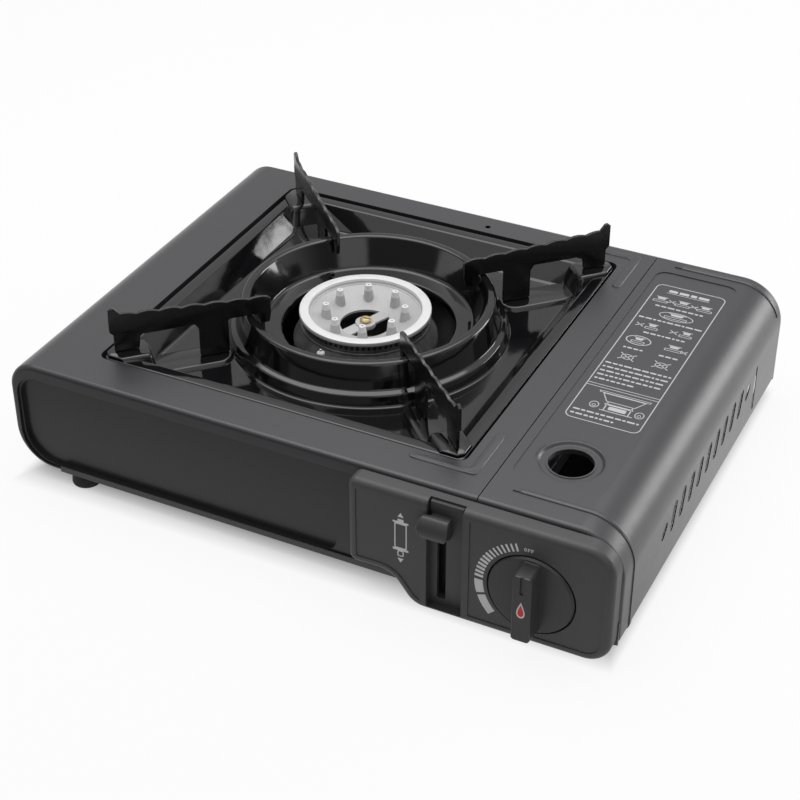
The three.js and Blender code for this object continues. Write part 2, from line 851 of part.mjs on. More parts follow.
// Wall between the burner and the cartridge bay, with guides for the carriage
const partitionFlange = 8;
const partitionTop = coverUnder - gap;
const flangeInset = 28;
const flangeFront = halfDepth - flangeInset;
const tubeOuter = 8;
const tubeWall = 1.2;
const jetInset = 29;
const jetY = -halfDepth + jetInset;
const jetZ = knobZ + 0.4 * sheet;
const barLeft = partitionX + sheet + 0.4 * sheet;
const barThick = 2;
const barLift = 3;
const barDepth = 10;
const barLow = baseTop + barLift;
const barHigh = barLow + barDepth;
const barRearInset = 16;
const barRear = halfDepth - barRearInset;
const leverPlateInset = 5.5;
const leverPlateDepth = 14;
const leverPlateFront = halfDepth - leverPlateInset;
const leverPlateRear = leverPlateFront - leverPlateDepth;
const leverPlateMargin = 3.2;
const carriagePinRadius = 1.5;
const carriagePinInset = 3.5;
const carriagePinY = -leverPlateRear - carriagePinInset;
const carriagePinZ = neckHigh - leverTravel + 4 * sheet;
const barFront = -carriagePinY + 4 * sheet;
const guideLength = 12;
const guideLip = 3.5;
const guideShares = [-0.5, 0.5];

function partitionWall() {
  const right = partitionX + sheet;
  const inner = plateFace - sheet - gap;
  const bottom = baseTop + gap;
  const wall = block(partitionX, right, -inner, inner, bottom, partitionTop);
  const upper = block(right - partitionFlange, right, -inner, inner, partitionTop - sheet, partitionTop);
  const lower = block(right - partitionFlange, right, -flangeFront, inner, bottom, bottom + sheet);
  const guides = guideShares.flatMap((share) => {
    const y = share * halfDepth;
    const lipRight = barLeft + barThick + gap + sheet;
    const reach = (low, high) => block(partitionX, lipRight, y, y + guideLength, low, high);
    const lip = (low, high) => block(lipRight - sheet, lipRight, y, y + guideLength, low, high);
    return [
      reach(barLow - gap - sheet, barLow - gap), lip(barLow - gap - sheet, barLow + guideLip),
      reach(barHigh + gap, barHigh + gap + sheet), lip(barHigh - guideLip, barHigh + gap + sheet),
    ];
  });
  const tubeHole = sideways(
    circle(jetY, jetZ, tubeOuter + gap, wideSteps), partitionX - overrun, right + overrun,
  );
  const pinHalf = carriagePinRadius + gap;
  const pinSlot = sideways(
    slot(carriagePinY - carriageTravel, carriagePinZ, carriagePinY, carriagePinZ, 2 * pinHalf),
    partitionX - overrun, right + overrun,
  );
  return cut(join(wall, upper, lower, ...guides), tubeHole, pinSlot);
}

addPiece('partition_wall', partitionWall(), plainSteel);

// Drip pan: one enamelled pressing with a tall ring round the burner
const panOuter = panHalf - panGap;
const panRim = shellTop - panRimDrop;
const panFloor = panRim - panFloorDepth;
const floorHalf = ridgeOuterFoot + panMoat;
const padTop = panRim + padRise;
const finFoot = padTop + gap;
const rayRise = 2;
const rayWidth = 17;
const rayOuter = padInner - 2 * padTaper;
const pressSteps = 2;

// A closed profile that gives a bent line of [radius, height] points a wall below it
function sheetProfile(points, wall) {
  const under = points.map(([r, z], i) => {
    const [r0, z0] = points[Math.max(i - 1, 0)];
    const [r1, z1] = points[Math.min(i + 1, points.length - 1)];
    const before = new THREE.Vector2(r - r0, z - z0);
    const after = new THREE.Vector2(r1 - r, z1 - z);
    const ways = [before, after].filter((way) => way.length() > 0).map((way) => way.normalize());
    const normals = ways.map((way) => new THREE.Vector2(-way.y, way.x));
    const normal = normals.reduce((sum, next) => sum.clone().add(next)).normalize();
    const stretch = wall / Math.max(normal.dot(normals[0]), 0.5);
    return [Math.max(r + normal.x * stretch, 0), z + normal.y * stretch];
  });
  return [...points, ...under.reverse(), points[0]];
}

function ridgeLine() {
  const line = [
    [ridgeOuterFoot + 3 * sheet, panFloor],
    [ridgeOuterFoot + 0.4 * sheet, panFloor],
    [ridgeOuterFoot - sheet, panFloor + ridgeStepRise - 2 * sheet],
    [ridgeOuterFoot - 3 * sheet, panFloor + ridgeStepRise - sheet / 2],
    [ridgeOuterFoot - 4 * sheet, panFloor + 1.5 * ridgeStepRise],
  ];
  const crestSteps = 3;
  const middle = ridgeTop - ridgeRound;
  for (let k = 0; k <= crestSteps; k += 1) {
    const angle = (Math.PI * k) / crestSteps;
    line.push([ridgeRadius + ridgeRound * Math.cos(angle), middle + ridgeRound * Math.sin(angle)]);
  }
  line.push(
    [ridgeInnerFoot + 3 * sheet, panFloor + 2 * ridgeInnerRise + sheet],
    [ridgeInnerFoot, panFloor + ridgeInnerRise + sheet],
    [bowlRadius + sheet / 2, panFloor + ridgeInnerRise],
    [bowlRadius, panFloor + ridgeInnerRise - bowlLip],
  );
  return line;
}

// A pressed form that lies along the pan's diagonal at a turn
function onDiagonal(geometry, turn) {
  return solid(geometry.rotateZ(turn).translate(panX, panY, 0));
}

function pressedPad(shrink, low, high) {
  const middle = (padInner + padOuter) / 2;
  const halfLength = (padOuter - padInner) / 2 - shrink;
  const halfWidth = padWidth / 2 - shrink;
  return loft([
    rectangleRing(middle, 0, halfLength + padTaper, halfWidth + padTaper, padRadius, low, pressSteps),
    rectangleRing(middle, 0, halfLength + sheet, halfWidth + sheet, padRadius, high - 2 * sheet, pressSteps),
    rectangleRing(middle, 0, halfLength, halfWidth, padRadius - sheet, high, pressSteps),
  ]);
}

// The hollow under a pad, a sheet's thickness inside it
function padHollow() {
  const middle = (padInner + padOuter) / 2;
  const halfLength = (padOuter - padInner) / 2 - sheet;
  const halfWidth = padWidth / 2 - sheet;
  return loft([
    rectangleRing(middle, 0, halfLength + padTaper, halfWidth + padTaper, 0, panFloor - 2 * sheet, 0),
    rectangleRing(middle, 0, halfLength, halfWidth, 0, padTop - sheet, 0),
  ]);
}

const diagonalTurns = [0, 1, 2, 3].map((k) => Math.PI / 4 + (k * Math.PI) / 2);

function dripPan() {
  const square = (half, radius, height) => rectangleRing(panX, panY, half, half, radius, height, 3);
  const rimHalf = panOuter - panRimWidth;
  const under = solid(loft([
    square(floorHalf, panFloorRadius, panFloor - sheet),
    square(rimHalf, openingRadius + sheet, panRim - sheet),
    square(rimHalf, openingRadius + sheet, panRim - sheet / 2),
  ]));
  const cavity = solid(loft([
    square(floorHalf - sheet, panFloorRadius - sheet, panFloor),
    square(rimHalf - sheet, openingRadius, panRim - sheet / 2),
    square(rimHalf, openingRadius + sheet, panRim),
    square(rimHalf, openingRadius + sheet, panRim + overrun),
  ]));
  const rimShape = new THREE.Shape(square(panOuter, openingRadius - panGap, 0));
  const skirtBottom = shellTop - seatDepth + gap;
  const skirtInside = new THREE.Shape(square(panOuter - sheet, openingRadius - panGap - sheet / 2, 0));
  const rim = cut(
    plate(rimShape, skirtBottom, panRim),
    plate(skirtInside, skirtBottom - overrun, panRim - sheet),
  );
  const reachUp = plate(rimShape, panRim - sheet, padTop + overrun);
  const envelope = join(under, reachUp);
  const pads = diagonalTurns.map((turn) => common(
    onDiagonal(pressedPad(0, panFloor - sheet / 2, padTop), turn), envelope,
  ));
  const hollows = diagonalTurns.map((turn) => {
    const inside = onDiagonal(padHollow(), turn);
    const nearRing = new THREE.BoxGeometry(padOuter - padWidth / 2, padWidth * 2, padTop * 2);
    return common(inside, onDiagonal(nearRing.translate((padOuter - padWidth / 2) / 2, 0, 0), turn));
  });
  const rays = diagonalTurns.map((turn) => onDiagonal(
    extruded(
      slot(ridgeOuterFoot + rayWidth / 2 + sheet, 0, rayOuter, 0, rayWidth, 2 * pressSteps),
      panFloor - sheet / 2, panFloor + rayRise, 0,
    ),
    turn,
  ));
  const floorHole = plate(
    circle(panX, panY, ridgeOuterFoot + 2 * sheet), panFloor - overrun, panFloor + overrun,
  );
  const ring = turned(sheetProfile(ridgeLine(), sheet), panX, panY);
  const tray = cut(join(under, rim, cutRimJoin(square, rimHalf)), cavity, floorHole);
  return join(cut(join(tray, ...pads, ...rays), ...hollows), ring);
}

// The flat rim between the pan's wall and its turned-down edge
function cutRimJoin(square, rimHalf) {
  const flat = plate(
    new THREE.Shape(square(panOuter - sheet / 2, openingRadius - panGap, 0)), panRim - sheet, panRim,
  );
  return cut(
    flat,
    plate(new THREE.Shape(square(rimHalf - sheet, openingRadius, 0)), panRim - overrun, panRim + overrun),
  );
}

addPiece('drip_pan', dripPan(), enamel);

// Pot supports: a cut sheet fin on each diagonal, with a scalloped top edge
const scallopSteps = 3;

function finTopAt(radius) {
  const share = (radius - finInner) / (finOuter - finTipWidth - finInner);
  const wave = Math.abs(Math.sin((Math.PI * (radius - finInner)) / scallopPitch));
  return finTopInner + (finTopOuter - finTopInner) * share + finScallop * (wave - 1);
}

function finShape() {
  const ridgeClear = ridgeTop + gap;
  const points = [
    [finOuter, finTip - finTipWidth / 2], [finOuter, finFoot + 2 * (finTip - finTopOuter) + finTipWidth],
    [finOuter - 2 * sheet, finFoot + 2 * (finTip - finTopOuter) + finTipWidth - 2 * sheet],
    [finOuter - 2 * sheet, finFoot],
    [finLegInner, finFoot], [finLegInner - sheet, finUnder], [finLegInner - 2 * sheet, finUnder + sheet],
    [finMidOuter + 2 * sheet, finUnder], [finMidOuter, finUnder - 2 * sheet],
    [finMidOuter, panFloor + rayRise + gap], [finMidInner, panFloor + rayRise + gap],
    [finMidInner, ridgeClear - sheet], [finMidInner - sheet, ridgeClear],
    [finInner + finHookWidth, ridgeClear], [finInner + finHookWidth, ridgeClear - finHookDepth],
    [finInner + sheet, ridgeClear - finHookDepth], [finInner, ridgeClear],
    [finInner, finTopInner - 2 * sheet],
  ];
  const step = scallopPitch / scallopSteps;
  for (let radius = finInner + step; radius < finOuter - finTipWidth; radius += step) {
    points.push([radius, finTopAt(radius)]);
  }
  points.push([finOuter - 0.7 * finTipWidth, finTip], [finOuter - 0.3 * finTipWidth, finTip]);
  return new THREE.Shape(points.map(([r, z]) => new THREE.Vector2(r, z)));
}

['rear_right', 'rear_left', 'front_left', 'front_right'].forEach((place, i) => {
  const fin = addPiece(`pot_support_${place}`, standing(finShape(), -finSheet / 2, finSheet / 2), finEnamel);
  fin.rotation.z = diagonalTurns[i];
  fin.position.set(panX, panY, 0);
});

// Burner: bowl, ring of ports, cast head with pegs, and the screw that holds them together
const portTop = headTop - headThick - gap;
const portBottom = portTop - portRingHeight;
const bowlTop = portBottom - gap;
const bowlTubeRadius = bowlRadius - gap;
const tubeEndRadius = headRadius - 9 * sheet;
const burnerGap = 10.4;
const dishFloor = headTop - dishDepth;
const bowlFootRadius = 18;
const bowlSideRadius = bowlBodyRadius - 4 * sheet;
const bowlSideRise = 9.5;
const bowlShoulderDrop = 9.5;
const boltBossRadius = 4.5;
const boltBossTop = dishFloor - burnerGap;
const dishEdge = headTop - dishDrop;
const castWall = 1.5;

// The tube runs from the jet, bends once, and enters the bowl at a slant
const tubeEnterTurn = -41.5;
const tubeEnterAngle = THREE.MathUtils.degToRad(tubeEnterTurn);
const tubePath = [
  [partitionX + sheet + 2.3 * sheet, jetY, jetZ],
  [partitionX - 2 * tubeOuter, jetY, jetZ],
  [partitionX - 6 * tubeOuter, jetY + 2.6 * tubeOuter, jetZ + tubeOuter / 2],
  [
    burnerX + bowlTubeRadius * Math.cos(tubeEnterAngle), burnerY + bowlTubeRadius * Math.sin(tubeEnterAngle),
    jetZ + 1.2 * tubeOuter,
  ],
  [
    burnerX + tubeEndRadius * Math.cos(tubeEnterAngle), burnerY + tubeEndRadius * Math.sin(tubeEnterAngle),
    jetZ + 1.4 * tubeOuter,
  ],
];

function tubeAlongPath(radius) {
  const path = new THREE.CatmullRomCurve3(tubePath.map(([x, y, z]) => new THREE.Vector3(x, y, z)));
  return solid(new THREE.ExtrudeGeometry(circle(0, 0, radius, 9), { steps: 8, extrudePath: path }));
}

function burnerBody() {
  const under = [
    [0, bowlBodyBottom], [bowlFootRadius, bowlBodyBottom], [bowlSideRadius, bowlBodyBottom + bowlSideRise],
    [bowlBodyRadius, bowlBodyBottom + 1.7 * bowlSideRise], [bowlBodyRadius, bowlTop - bowlShoulderDrop],
    [headRadius - gap, bowlTop - 1.5 * sheet], [headRadius - gap, bowlTop], [headRadius - headRim, bowlTop],
  ];
  const bowl = turned(sheetProfile(under, bowlBodyWall), burnerX, burnerY, wideSteps);
  const boss = turned([
    [0, bowlBodyBottom + sheet], [boltBossRadius + sheet, bowlBodyBottom + sheet],
    [boltBossRadius, boltBossTop], [0, boltBossTop],
  ], burnerX, burnerY, midSteps);
  const bore = plate(
    circle(burnerX, burnerY, screwRadius + gap, smallSteps), boltBossTop - screwLength + overrun,
    boltBossTop + overrun,
  );
  return cut(join(bowl, boss), bore, tubeAlongPath(tubeOuter + gap));
}

function portRing() {
  const outer = headRadius - 1.3 * sheet;
  const inner = outer - portRingWall;
  const ring = cut(
    plate(circle(burnerX, burnerY, outer), portBottom, portTop),
    plate(circle(burnerX, burnerY, inner, portCount / 2), portBottom - overrun, portTop + overrun),
  );
  const ports = [];
  for (let k = 0; k < portCount; k += 1) {
    const port = new THREE.BoxGeometry(portRingWall + 2 * overrun, portWidth, portDepth + overrun);
    port.translate((inner + outer) / 2, 0, portTop - portDepth + (portDepth + overrun) / 2);
    ports.push(solid(port.rotateZ((2 * Math.PI * k) / portCount).translate(burnerX, burnerY, 0)));
  }
  return cut(ring, ...ports);
}

function burnerHead() {
  const rimInner = headRadius - headRim;
  const head = turned([
    [0, dishFloor - castWall], [dishRadius + castWall / 3, dishFloor - castWall],
    [rimInner - castWall, dishEdge - castWall], [rimInner - castWall, headTop - headThick],
    [headRadius, headTop - headThick], [headRadius, headTop - sheet / 4], [headRadius - sheet / 4, headTop],
    [rimInner, headTop], [rimInner - sheet / 2, dishEdge], [dishRadius, dishFloor], [0, dishFloor],
  ], burnerX, burnerY);
  const pegs = [];
  for (let k = 0; k < pegCount; k += 1) {
    const angle = ((k + 0.5) * 2 * Math.PI) / pegCount;
    const foot = dishFloor + castWall;
    pegs.push(turned([
      [0, foot], [pegBaseRadius, foot], [pegTipRadius, pegTop], [0, pegTop],
    ], burnerX + pegCircle * Math.cos(angle), burnerY + pegCircle * Math.sin(angle), 7));
  }
  const low = dishFloor - castWall;
  const turn = THREE.MathUtils.degToRad(barTurn);
  const across = [Math.cos(turn) * windowRadius, Math.sin(turn) * windowRadius];
  const bar = plate(slot(
    burnerX - across[0], burnerY - across[1], burnerX + across[0], burnerY + across[1], barWidth, 2,
  ), low - overrun, headTop);
  const boss = plate(circle(burnerX, burnerY, bossRadius, midSteps), low - overrun, headTop);
  const windows = cut(
    plate(circle(burnerX, burnerY, windowRadius, wideSteps), low - overrun, dishFloor + sheet / 2), bar, boss,
  );
  const raisedBoss = plate(circle(burnerX, burnerY, bossRadius, midSteps), low, dishFloor + sheet);
  const bore = plate(circle(burnerX, burnerY, screwRadius + gap, smallSteps), low - overrun, headTop);
  return cut(join(head, raisedBoss, ...pegs), windows, bore);
}

function burnerScrew() {
  const under = dishFloor + sheet + gap;
  const top = under + screwHeadHeight;
  const body = turned([
    [0, under - screwLength], [screwRadius, under - screwLength], [screwRadius, under],
    [screwHeadRadius, under],
    [screwHeadRadius, top - sheet], [screwHeadRadius - sheet, top], [0, top],
  ], burnerX, burnerY, midSteps);
  const drive = block(
    burnerX - 2 * screwHeadRadius, burnerX + 2 * screwHeadRadius, burnerY - screwSlot / 2,
    burnerY + screwSlot / 2,
    top - 0.8 * sheet, top + sheet,
  );
  return cut(body, drive);
}

addPiece('burner_bowl', burnerBody(), blackIron);
addPiece('burner_port_ring', portRing(), blackIron);
addPiece('burner_head', burnerHead(), castAluminium);
addPiece('burner_screw', burnerScrew(), brass);

function mixingTube() {
  return cut(tubeAlongPath(tubeOuter), tubeAlongPath(tubeOuter - tubeWall));
}

addPiece('mixing_tube', mixingTube(), darkSteel);

// The bracket under the burner is a bent strap on the base plate
const strapHalf = 9;
const strapSheet = 1.2;
const strapSpread = 24;
const strapTopHalf = 14;

function burnerBracket() {
  const low = baseTop + gap;
  const high = bowlBodyBottom - gap;
  const points = [
    [-strapSpread, low], [-strapTopHalf + strapSheet, low], [-strapTopHalf + strapSheet, high - strapSheet],
    [strapTopHalf - strapSheet, high - strapSheet], [strapTopHalf - strapSheet, low], [strapSpread, low],
    [strapSpread, low + strapSheet], [strapTopHalf, low + strapSheet], [strapTopHalf, high],
    [-strapTopHalf, high],
    [-strapTopHalf, low + strapSheet], [-strapSpread, low + strapSheet],
  ];
  const shape = new THREE.Shape(points.map(([x, z]) => new THREE.Vector2(burnerX + x, z)));
  return standing(shape, burnerY - strapHalf, burnerY + strapHalf);
}

addPiece('burner_bracket', burnerBracket(), plainSteel);

// Spark electrode beside the ports, and its clip
const electrodeSpace = 3.8;
const electrodeCircle = bowlBodyRadius + electrodeSpace;
const electrodeTurn = -96;
const electrodeRadius = 2;
const electrodeDrop = 5.5;
const electrodeLength = 24.5;
const electrodeTop = headTop - electrodeDrop;
const electrodeLow = electrodeTop - electrodeLength;
const electrodeTip = electrodeTop + 2.5 * sheet;
const electrodeWire = 0.8;
const clipHeight = electrodeLow + 4 * sheet;
const clipHalf = 4.5;

const electrodeAngle = THREE.MathUtils.degToRad(electrodeTurn);
const electrodeX = burnerX + electrodeCircle * Math.cos(electrodeAngle);
const electrodeY = burnerY + electrodeCircle * Math.sin(electrodeAngle);

function sparkElectrode() {
  return turned([
    [0, electrodeLow], [electrodeRadius, electrodeLow], [electrodeRadius, electrodeTop - sheet],
    [electrodeWire, electrodeTop], [electrodeWire, electrodeTip], [0, electrodeTip],
  ], electrodeX, electrodeY, smallSteps);
}

function electrodeClip() {
  const inner = burnerY - bowlBodyRadius + 1.3 * sheet;
  const outer = electrodeY - clipHalf;
  const tab = block(
    electrodeX - clipHalf, electrodeX + clipHalf, outer, inner, clipHeight, clipHeight + sheet,
  );
  const hole = plate(
    circle(electrodeX, electrodeY, electrodeRadius + gap, midSteps), clipHeight - overrun,
    clipHeight + overrun,
  );
  const bowlSpace = turned([
    [0, clipHeight - overrun], [bowlBodyRadius - sheet, clipHeight - overrun],
    [bowlBodyRadius - sheet, clipHeight + overrun], [0, clipHeight + overrun],
  ], burnerX, burnerY);
  return cut(tab, hole, bowlSpace);
}

addPiece('spark_electrode', sparkElectrode(), ceramic);
addPiece('electrode_clip', electrodeClip(), plainSteel);

// Gas valve on the back of the front panel, with the socket that the cartridge docks into
const valveHalfWidth = 17.5;
const valveBelow = 12.6;
const valveAbove = 19.4;
const valveInset = 16;
const valveDepth = 20;
const valveLeft = knobX - valveHalfWidth;
const valveRight = knobX + valveHalfWidth;
const valveLow = knobZ - valveBelow;
const valveHigh = knobZ + valveAbove;
const valveFront = halfDepth - valveInset;
const valveRear = valveFront - valveDepth;
const valveRadius = 4;
const standoffRadius = 3.5;
const standoffInset = 5;
const spindleRadius = 3;
const spindleSeat = 6.6;
const spindleEnd = valveFront - spindleSeat;
const outletDepth = 6;
const jetTail = 3;
const socketRadius = 15;
const socketNeck = 11;
const socketSeat = 8.3;
const socketFlange = 3;
const socketLength = 9.7;
const socketBore = 4;

function valveBody() {
  const shape = outline([
    [valveLeft, valveLow, valveRadius], [valveRight, valveLow, valveRadius],
    [valveRight, valveHigh, valveRadius], [valveLeft, valveHigh, valveRadius],
  ], 3);
  const legX = [valveLeft + standoffInset, valveRight - standoffInset];
  const places = [[legX[0], valveHigh - standoffInset], [legX[1], valveHigh - standoffInset]];
  places.push([legX[1], valveLow + standoffInset]);
  const legs = places.map(([x, z]) => standing(
    circle(x, z, standoffRadius, smallSteps), -plateFace + sheet + gap, -valveFront + sheet,
  ));
  return cut(
    join(standing(shape, -valveFront, -valveRear, sheet, 1), ...legs),
    standing(circle(knobX, knobZ, spindleRadius + gap, smallSteps), -valveFront - overrun, -spindleEnd + gap),
    sideways(circle(jetY, jetZ, jetTail + gap, smallSteps), valveLeft - overrun, valveLeft + outletDepth),
    standing(
      circle(cartridgeX, cartridgeZ, socketBore, smallSteps), -valveRear - outletDepth, -valveRear + overrun,
    ),
  );
}

addPiece('gas_valve', valveBody(), zincCasting);

const socketFront = valveRear - gap;

function cartridgeSocket() {
  const end = socketFront - socketLength;
  const floor = socketFront - socketFlange - sheet;
  return turnedAlongY([
    [socketBore, -socketFront], [socketRadius, -socketFront], [socketRadius, -socketFront + socketFlange],
    [socketNeck, -socketFront + socketFlange], [socketNeck, -end], [socketSeat, -end], [socketSeat, -floor],
    [socketBore, -floor], [socketBore, -socketFront],
  ], cartridgeX, cartridgeZ, midSteps);
}

function socketSeal() {
  const floor = socketFront - socketFlange - sheet - gap;
  const inner = socketBore + sheet;
  const outer = socketSeat - gap;
  return turnedAlongY([
    [inner, -floor], [outer, -floor], [(inner + outer) / 2, -floor + 2.4 * sheet], [inner, -floor],
  ], cartridgeX, cartridgeZ, midSteps);
}

addPiece('cartridge_socket', cartridgeSocket(), brass);
addPiece('socket_seal', socketSeal(), rubber);

const regulatorRadius = 10;
const regulatorLength = 8;
const regulatorY = -(valveFront + valveRear) / 2;
const regulatorZ = (valveLow + valveHigh) / 2;

function regulatorCap() {
  const left = valveRight + gap;
  return turnedAlongX([
    [0, left], [regulatorRadius, left], [regulatorRadius, left + regulatorLength / 2],
    [regulatorRadius - 3 * sheet, left + regulatorLength], [0, left + regulatorLength],
  ], regulatorY, regulatorZ, midSteps);
}

addPiece('regulator_cap', regulatorCap(), zincCasting);

const locatorHalf = 3;
const locatorFront = valveFront - 4 * sheet;
const locatorLength = 28;
const locatorRear = locatorFront - locatorLength;
const locatorDrop = 4;

function cartridgeLocator() {
  const low = valveHigh + gap;
  const points = [
    [-locatorFront, low], [-locatorRear - sheet, low], [-locatorRear - sheet, low - locatorDrop],
    [-locatorRear, low - locatorDrop], [-locatorRear, low + sheet], [-locatorFront, low + sheet],
  ];
  const shape = new THREE.Shape(points.map(([y, z]) => new THREE.Vector2(y, z)));
  return sideways(shape, cartridgeX - locatorHalf, cartridgeX + locatorHalf);
}

addPiece('cartridge_locating_tab', cartridgeLocator(), plainSteel);

const jetLength = 15;
const jetHexLength = 9;
const jetTipX = valveLeft - jetLength;
const jetHexLeft = valveLeft - jetHexLength;
const jetTipRadius = 2.2;
const jetHexRadius = 4.5;

function gasJet() {
  const shoulder = valveLeft - 2 * gap;
  return turnedAlongX([
    [0, jetTipX], [jetTipRadius, jetTipX], [jetTipRadius, jetHexLeft - sheet], [jetHexRadius, jetHexLeft],
    [jetHexRadius, shoulder], [jetTail, shoulder], [jetTail, valveLeft + outletDepth - gap],
    [0, valveLeft + outletDepth - gap],
  ], jetY, jetZ, smallSteps);
}

addPiece('gas_jet', gasJet(), brass);

// The carriage that the lever draws forward to push the cartridge into the socket
const pushRight = cartridgeX + cartridgeRadius / 2;
const pushHigh = cartridgeZ + cartridgeRadius / 2;
const pushRadius = 8;
const uprightWidth = 8;
const leverPlateThick = 2;
const leverPlateLeft = (slotLeft + slotRight) / 2 - leverPlateThick / 2;
const leverPlateRight = leverPlateLeft + leverPlateThick;

function cartridgeCarriage() {
  const barRight = barLeft + barThick;
  const bar = block(barLeft, barRight, -barFront, barRear, barLow, barHigh);
  const upright = block(
    barLeft, barRight, -barFront, -barFront + uprightWidth, barLow, carriagePinZ + 2 * carriagePinRadius,
  );
  const push = standing(outline([
    [barLeft, barLow, 0], [pushRight, barLow, pushRadius], [pushRight, pushHigh, pushRadius],
    [barLeft + pushRadius, pushHigh, pushRadius], [barLeft, barHigh, 0],
  ]), barRear - barThick, barRear);
  const pin = sideways(
    circle(carriagePinY, carriagePinZ, carriagePinRadius, midSteps), leverPlateLeft - gap, barLeft + sheet,
  );
  return join(bar, upright, push, pin);
}

addPiece('cartridge_carriage', cartridgeCarriage(), plainSteel);

// Lock lever: finger tab, slider, neck through the slot, and a plate with a slanted cam slot
const tabWidth = 16.5;
const tabReach = 6.5;
const tabHeight = 12;
const tabRight = slotRight;
const tabLeft = tabRight - tabWidth;
const tabFront = panelFront + tabReach;
const tabHigh = neckHigh + sheet;
const tabLow = tabHigh - tabHeight;
const leverPlateRadius = 2;
const sliderThick = 2;

function lockLever() {
  const camSlot = sideways(
    slot(
      carriagePinY, carriagePinZ, carriagePinY - carriageTravel, carriagePinZ + leverTravel,
      2 * (carriagePinRadius + gap),
    ),
    leverPlateLeft - overrun, leverPlateRight + overrun,
  );
  const camPlate = sideways(outline([
    [-leverPlateFront, carriagePinZ - leverPlateMargin, leverPlateRadius],
    [-leverPlateRear, carriagePinZ - leverPlateMargin, leverPlateRadius],
    [-leverPlateRear, carriagePinZ + leverTravel + leverPlateMargin, leverPlateRadius],
    [-leverPlateFront, carriagePinZ + leverTravel + leverPlateMargin, leverPlateRadius],
  ], 3), leverPlateLeft, leverPlateRight);
  const sliderBack = channelFloor + gap;
  const sliderFront = sliderBack + sliderThick;
  const neck = block(
    leverPlateLeft - 0.8 * sheet, leverPlateRight + 0.8 * sheet,
    -sliderFront, -leverPlateFront + sheet, neckLow, neckHigh,
  );
  const slider = block(
    channelLeft + 0.8 * sheet, channelRight - 0.8 * sheet, -sliderFront, -sliderBack, tabLow - sheet,
    panelTop - sheet,
  );
  const stem = block(
    channelLeft + 2 * sheet, tabRight - sheet, -panelFront - sheet, -sliderFront + gap, tabLow, tabHigh,
  );
  const tab = sideways(outline([
    [-tabFront, tabLow + 2 * sheet, 2 * sheet], [-panelFront - gap, tabLow - sheet, sheet],
    [-panelFront - gap, tabHigh + sheet, sheet], [-tabFront, tabHigh - 2 * sheet, 2 * sheet],
  ], 3), tabLeft, tabRight, 0.6 * sheet);
  return join(cut(camPlate, camSlot), neck, slider, stem, tab);
}

addPiece('lock_lever', lockLever(), darkMoulded);

// Control panel: a moulded shell with the lever's channel and the knob's cup
const panelStepRadius = 12;
const panelCornerSpare = 0.5;
const panelTopRadius = 15;
const panelFootRadius = 13;
const panelBossInset = 13;
const panelBossRadius = 3.5;
const fieldInset = 4.6;
const fieldSink = 0.5;
const fieldSpace = 3.5;
const leftFieldEnd = channelLeft - fieldSpace;
const rightFieldStart = channelRight + fieldSpace;
const channelEnd = panelBottom + 2.5 * sheet;
const slotLow = neckLow - leverTravel - 8 * sheet;
const slotHigh = neckHigh + 5 * sheet;
const hubRadius = 6;

const panelCorners = [
  [panelLeft, panelStepZ, panelEdge + panelCornerSpare],
  [panelStepX, panelStepZ, panelStepRadius],
  [panelStepX + panelStepRun, panelBottom, panelStepRadius],
  [panelRight, panelBottom, panelFootRadius],
  [panelRight, panelTop, panelTopRadius],
  [panelLeft, panelTop, panelEdge + panelCornerSpare],
];

// Moves every side of an outline inwards and keeps its corners' arcs concentric
function insetCorners(corners, inset) {
  return corners.map(([x, y, radius], i) => {
    const [px, py] = corners[(i + corners.length - 1) % corners.length];
    const [nx, ny] = corners[(i + 1) % corners.length];
    const before = new THREE.Vector2(x - px, y - py).normalize();
    const after = new THREE.Vector2(nx - x, ny - y).normalize();
    const turn = before.cross(after);
    const normal = new THREE.Vector2(-before.y - after.y, before.x + after.x).normalize();
    const reach = inset / normal.dot(new THREE.Vector2(-before.y, before.x));
    const rounder = turn > 0 ? Math.max(radius - inset, sheet / 2) : radius + inset;
    return [x + normal.x * reach, y + normal.y * reach, rounder];
  });
}

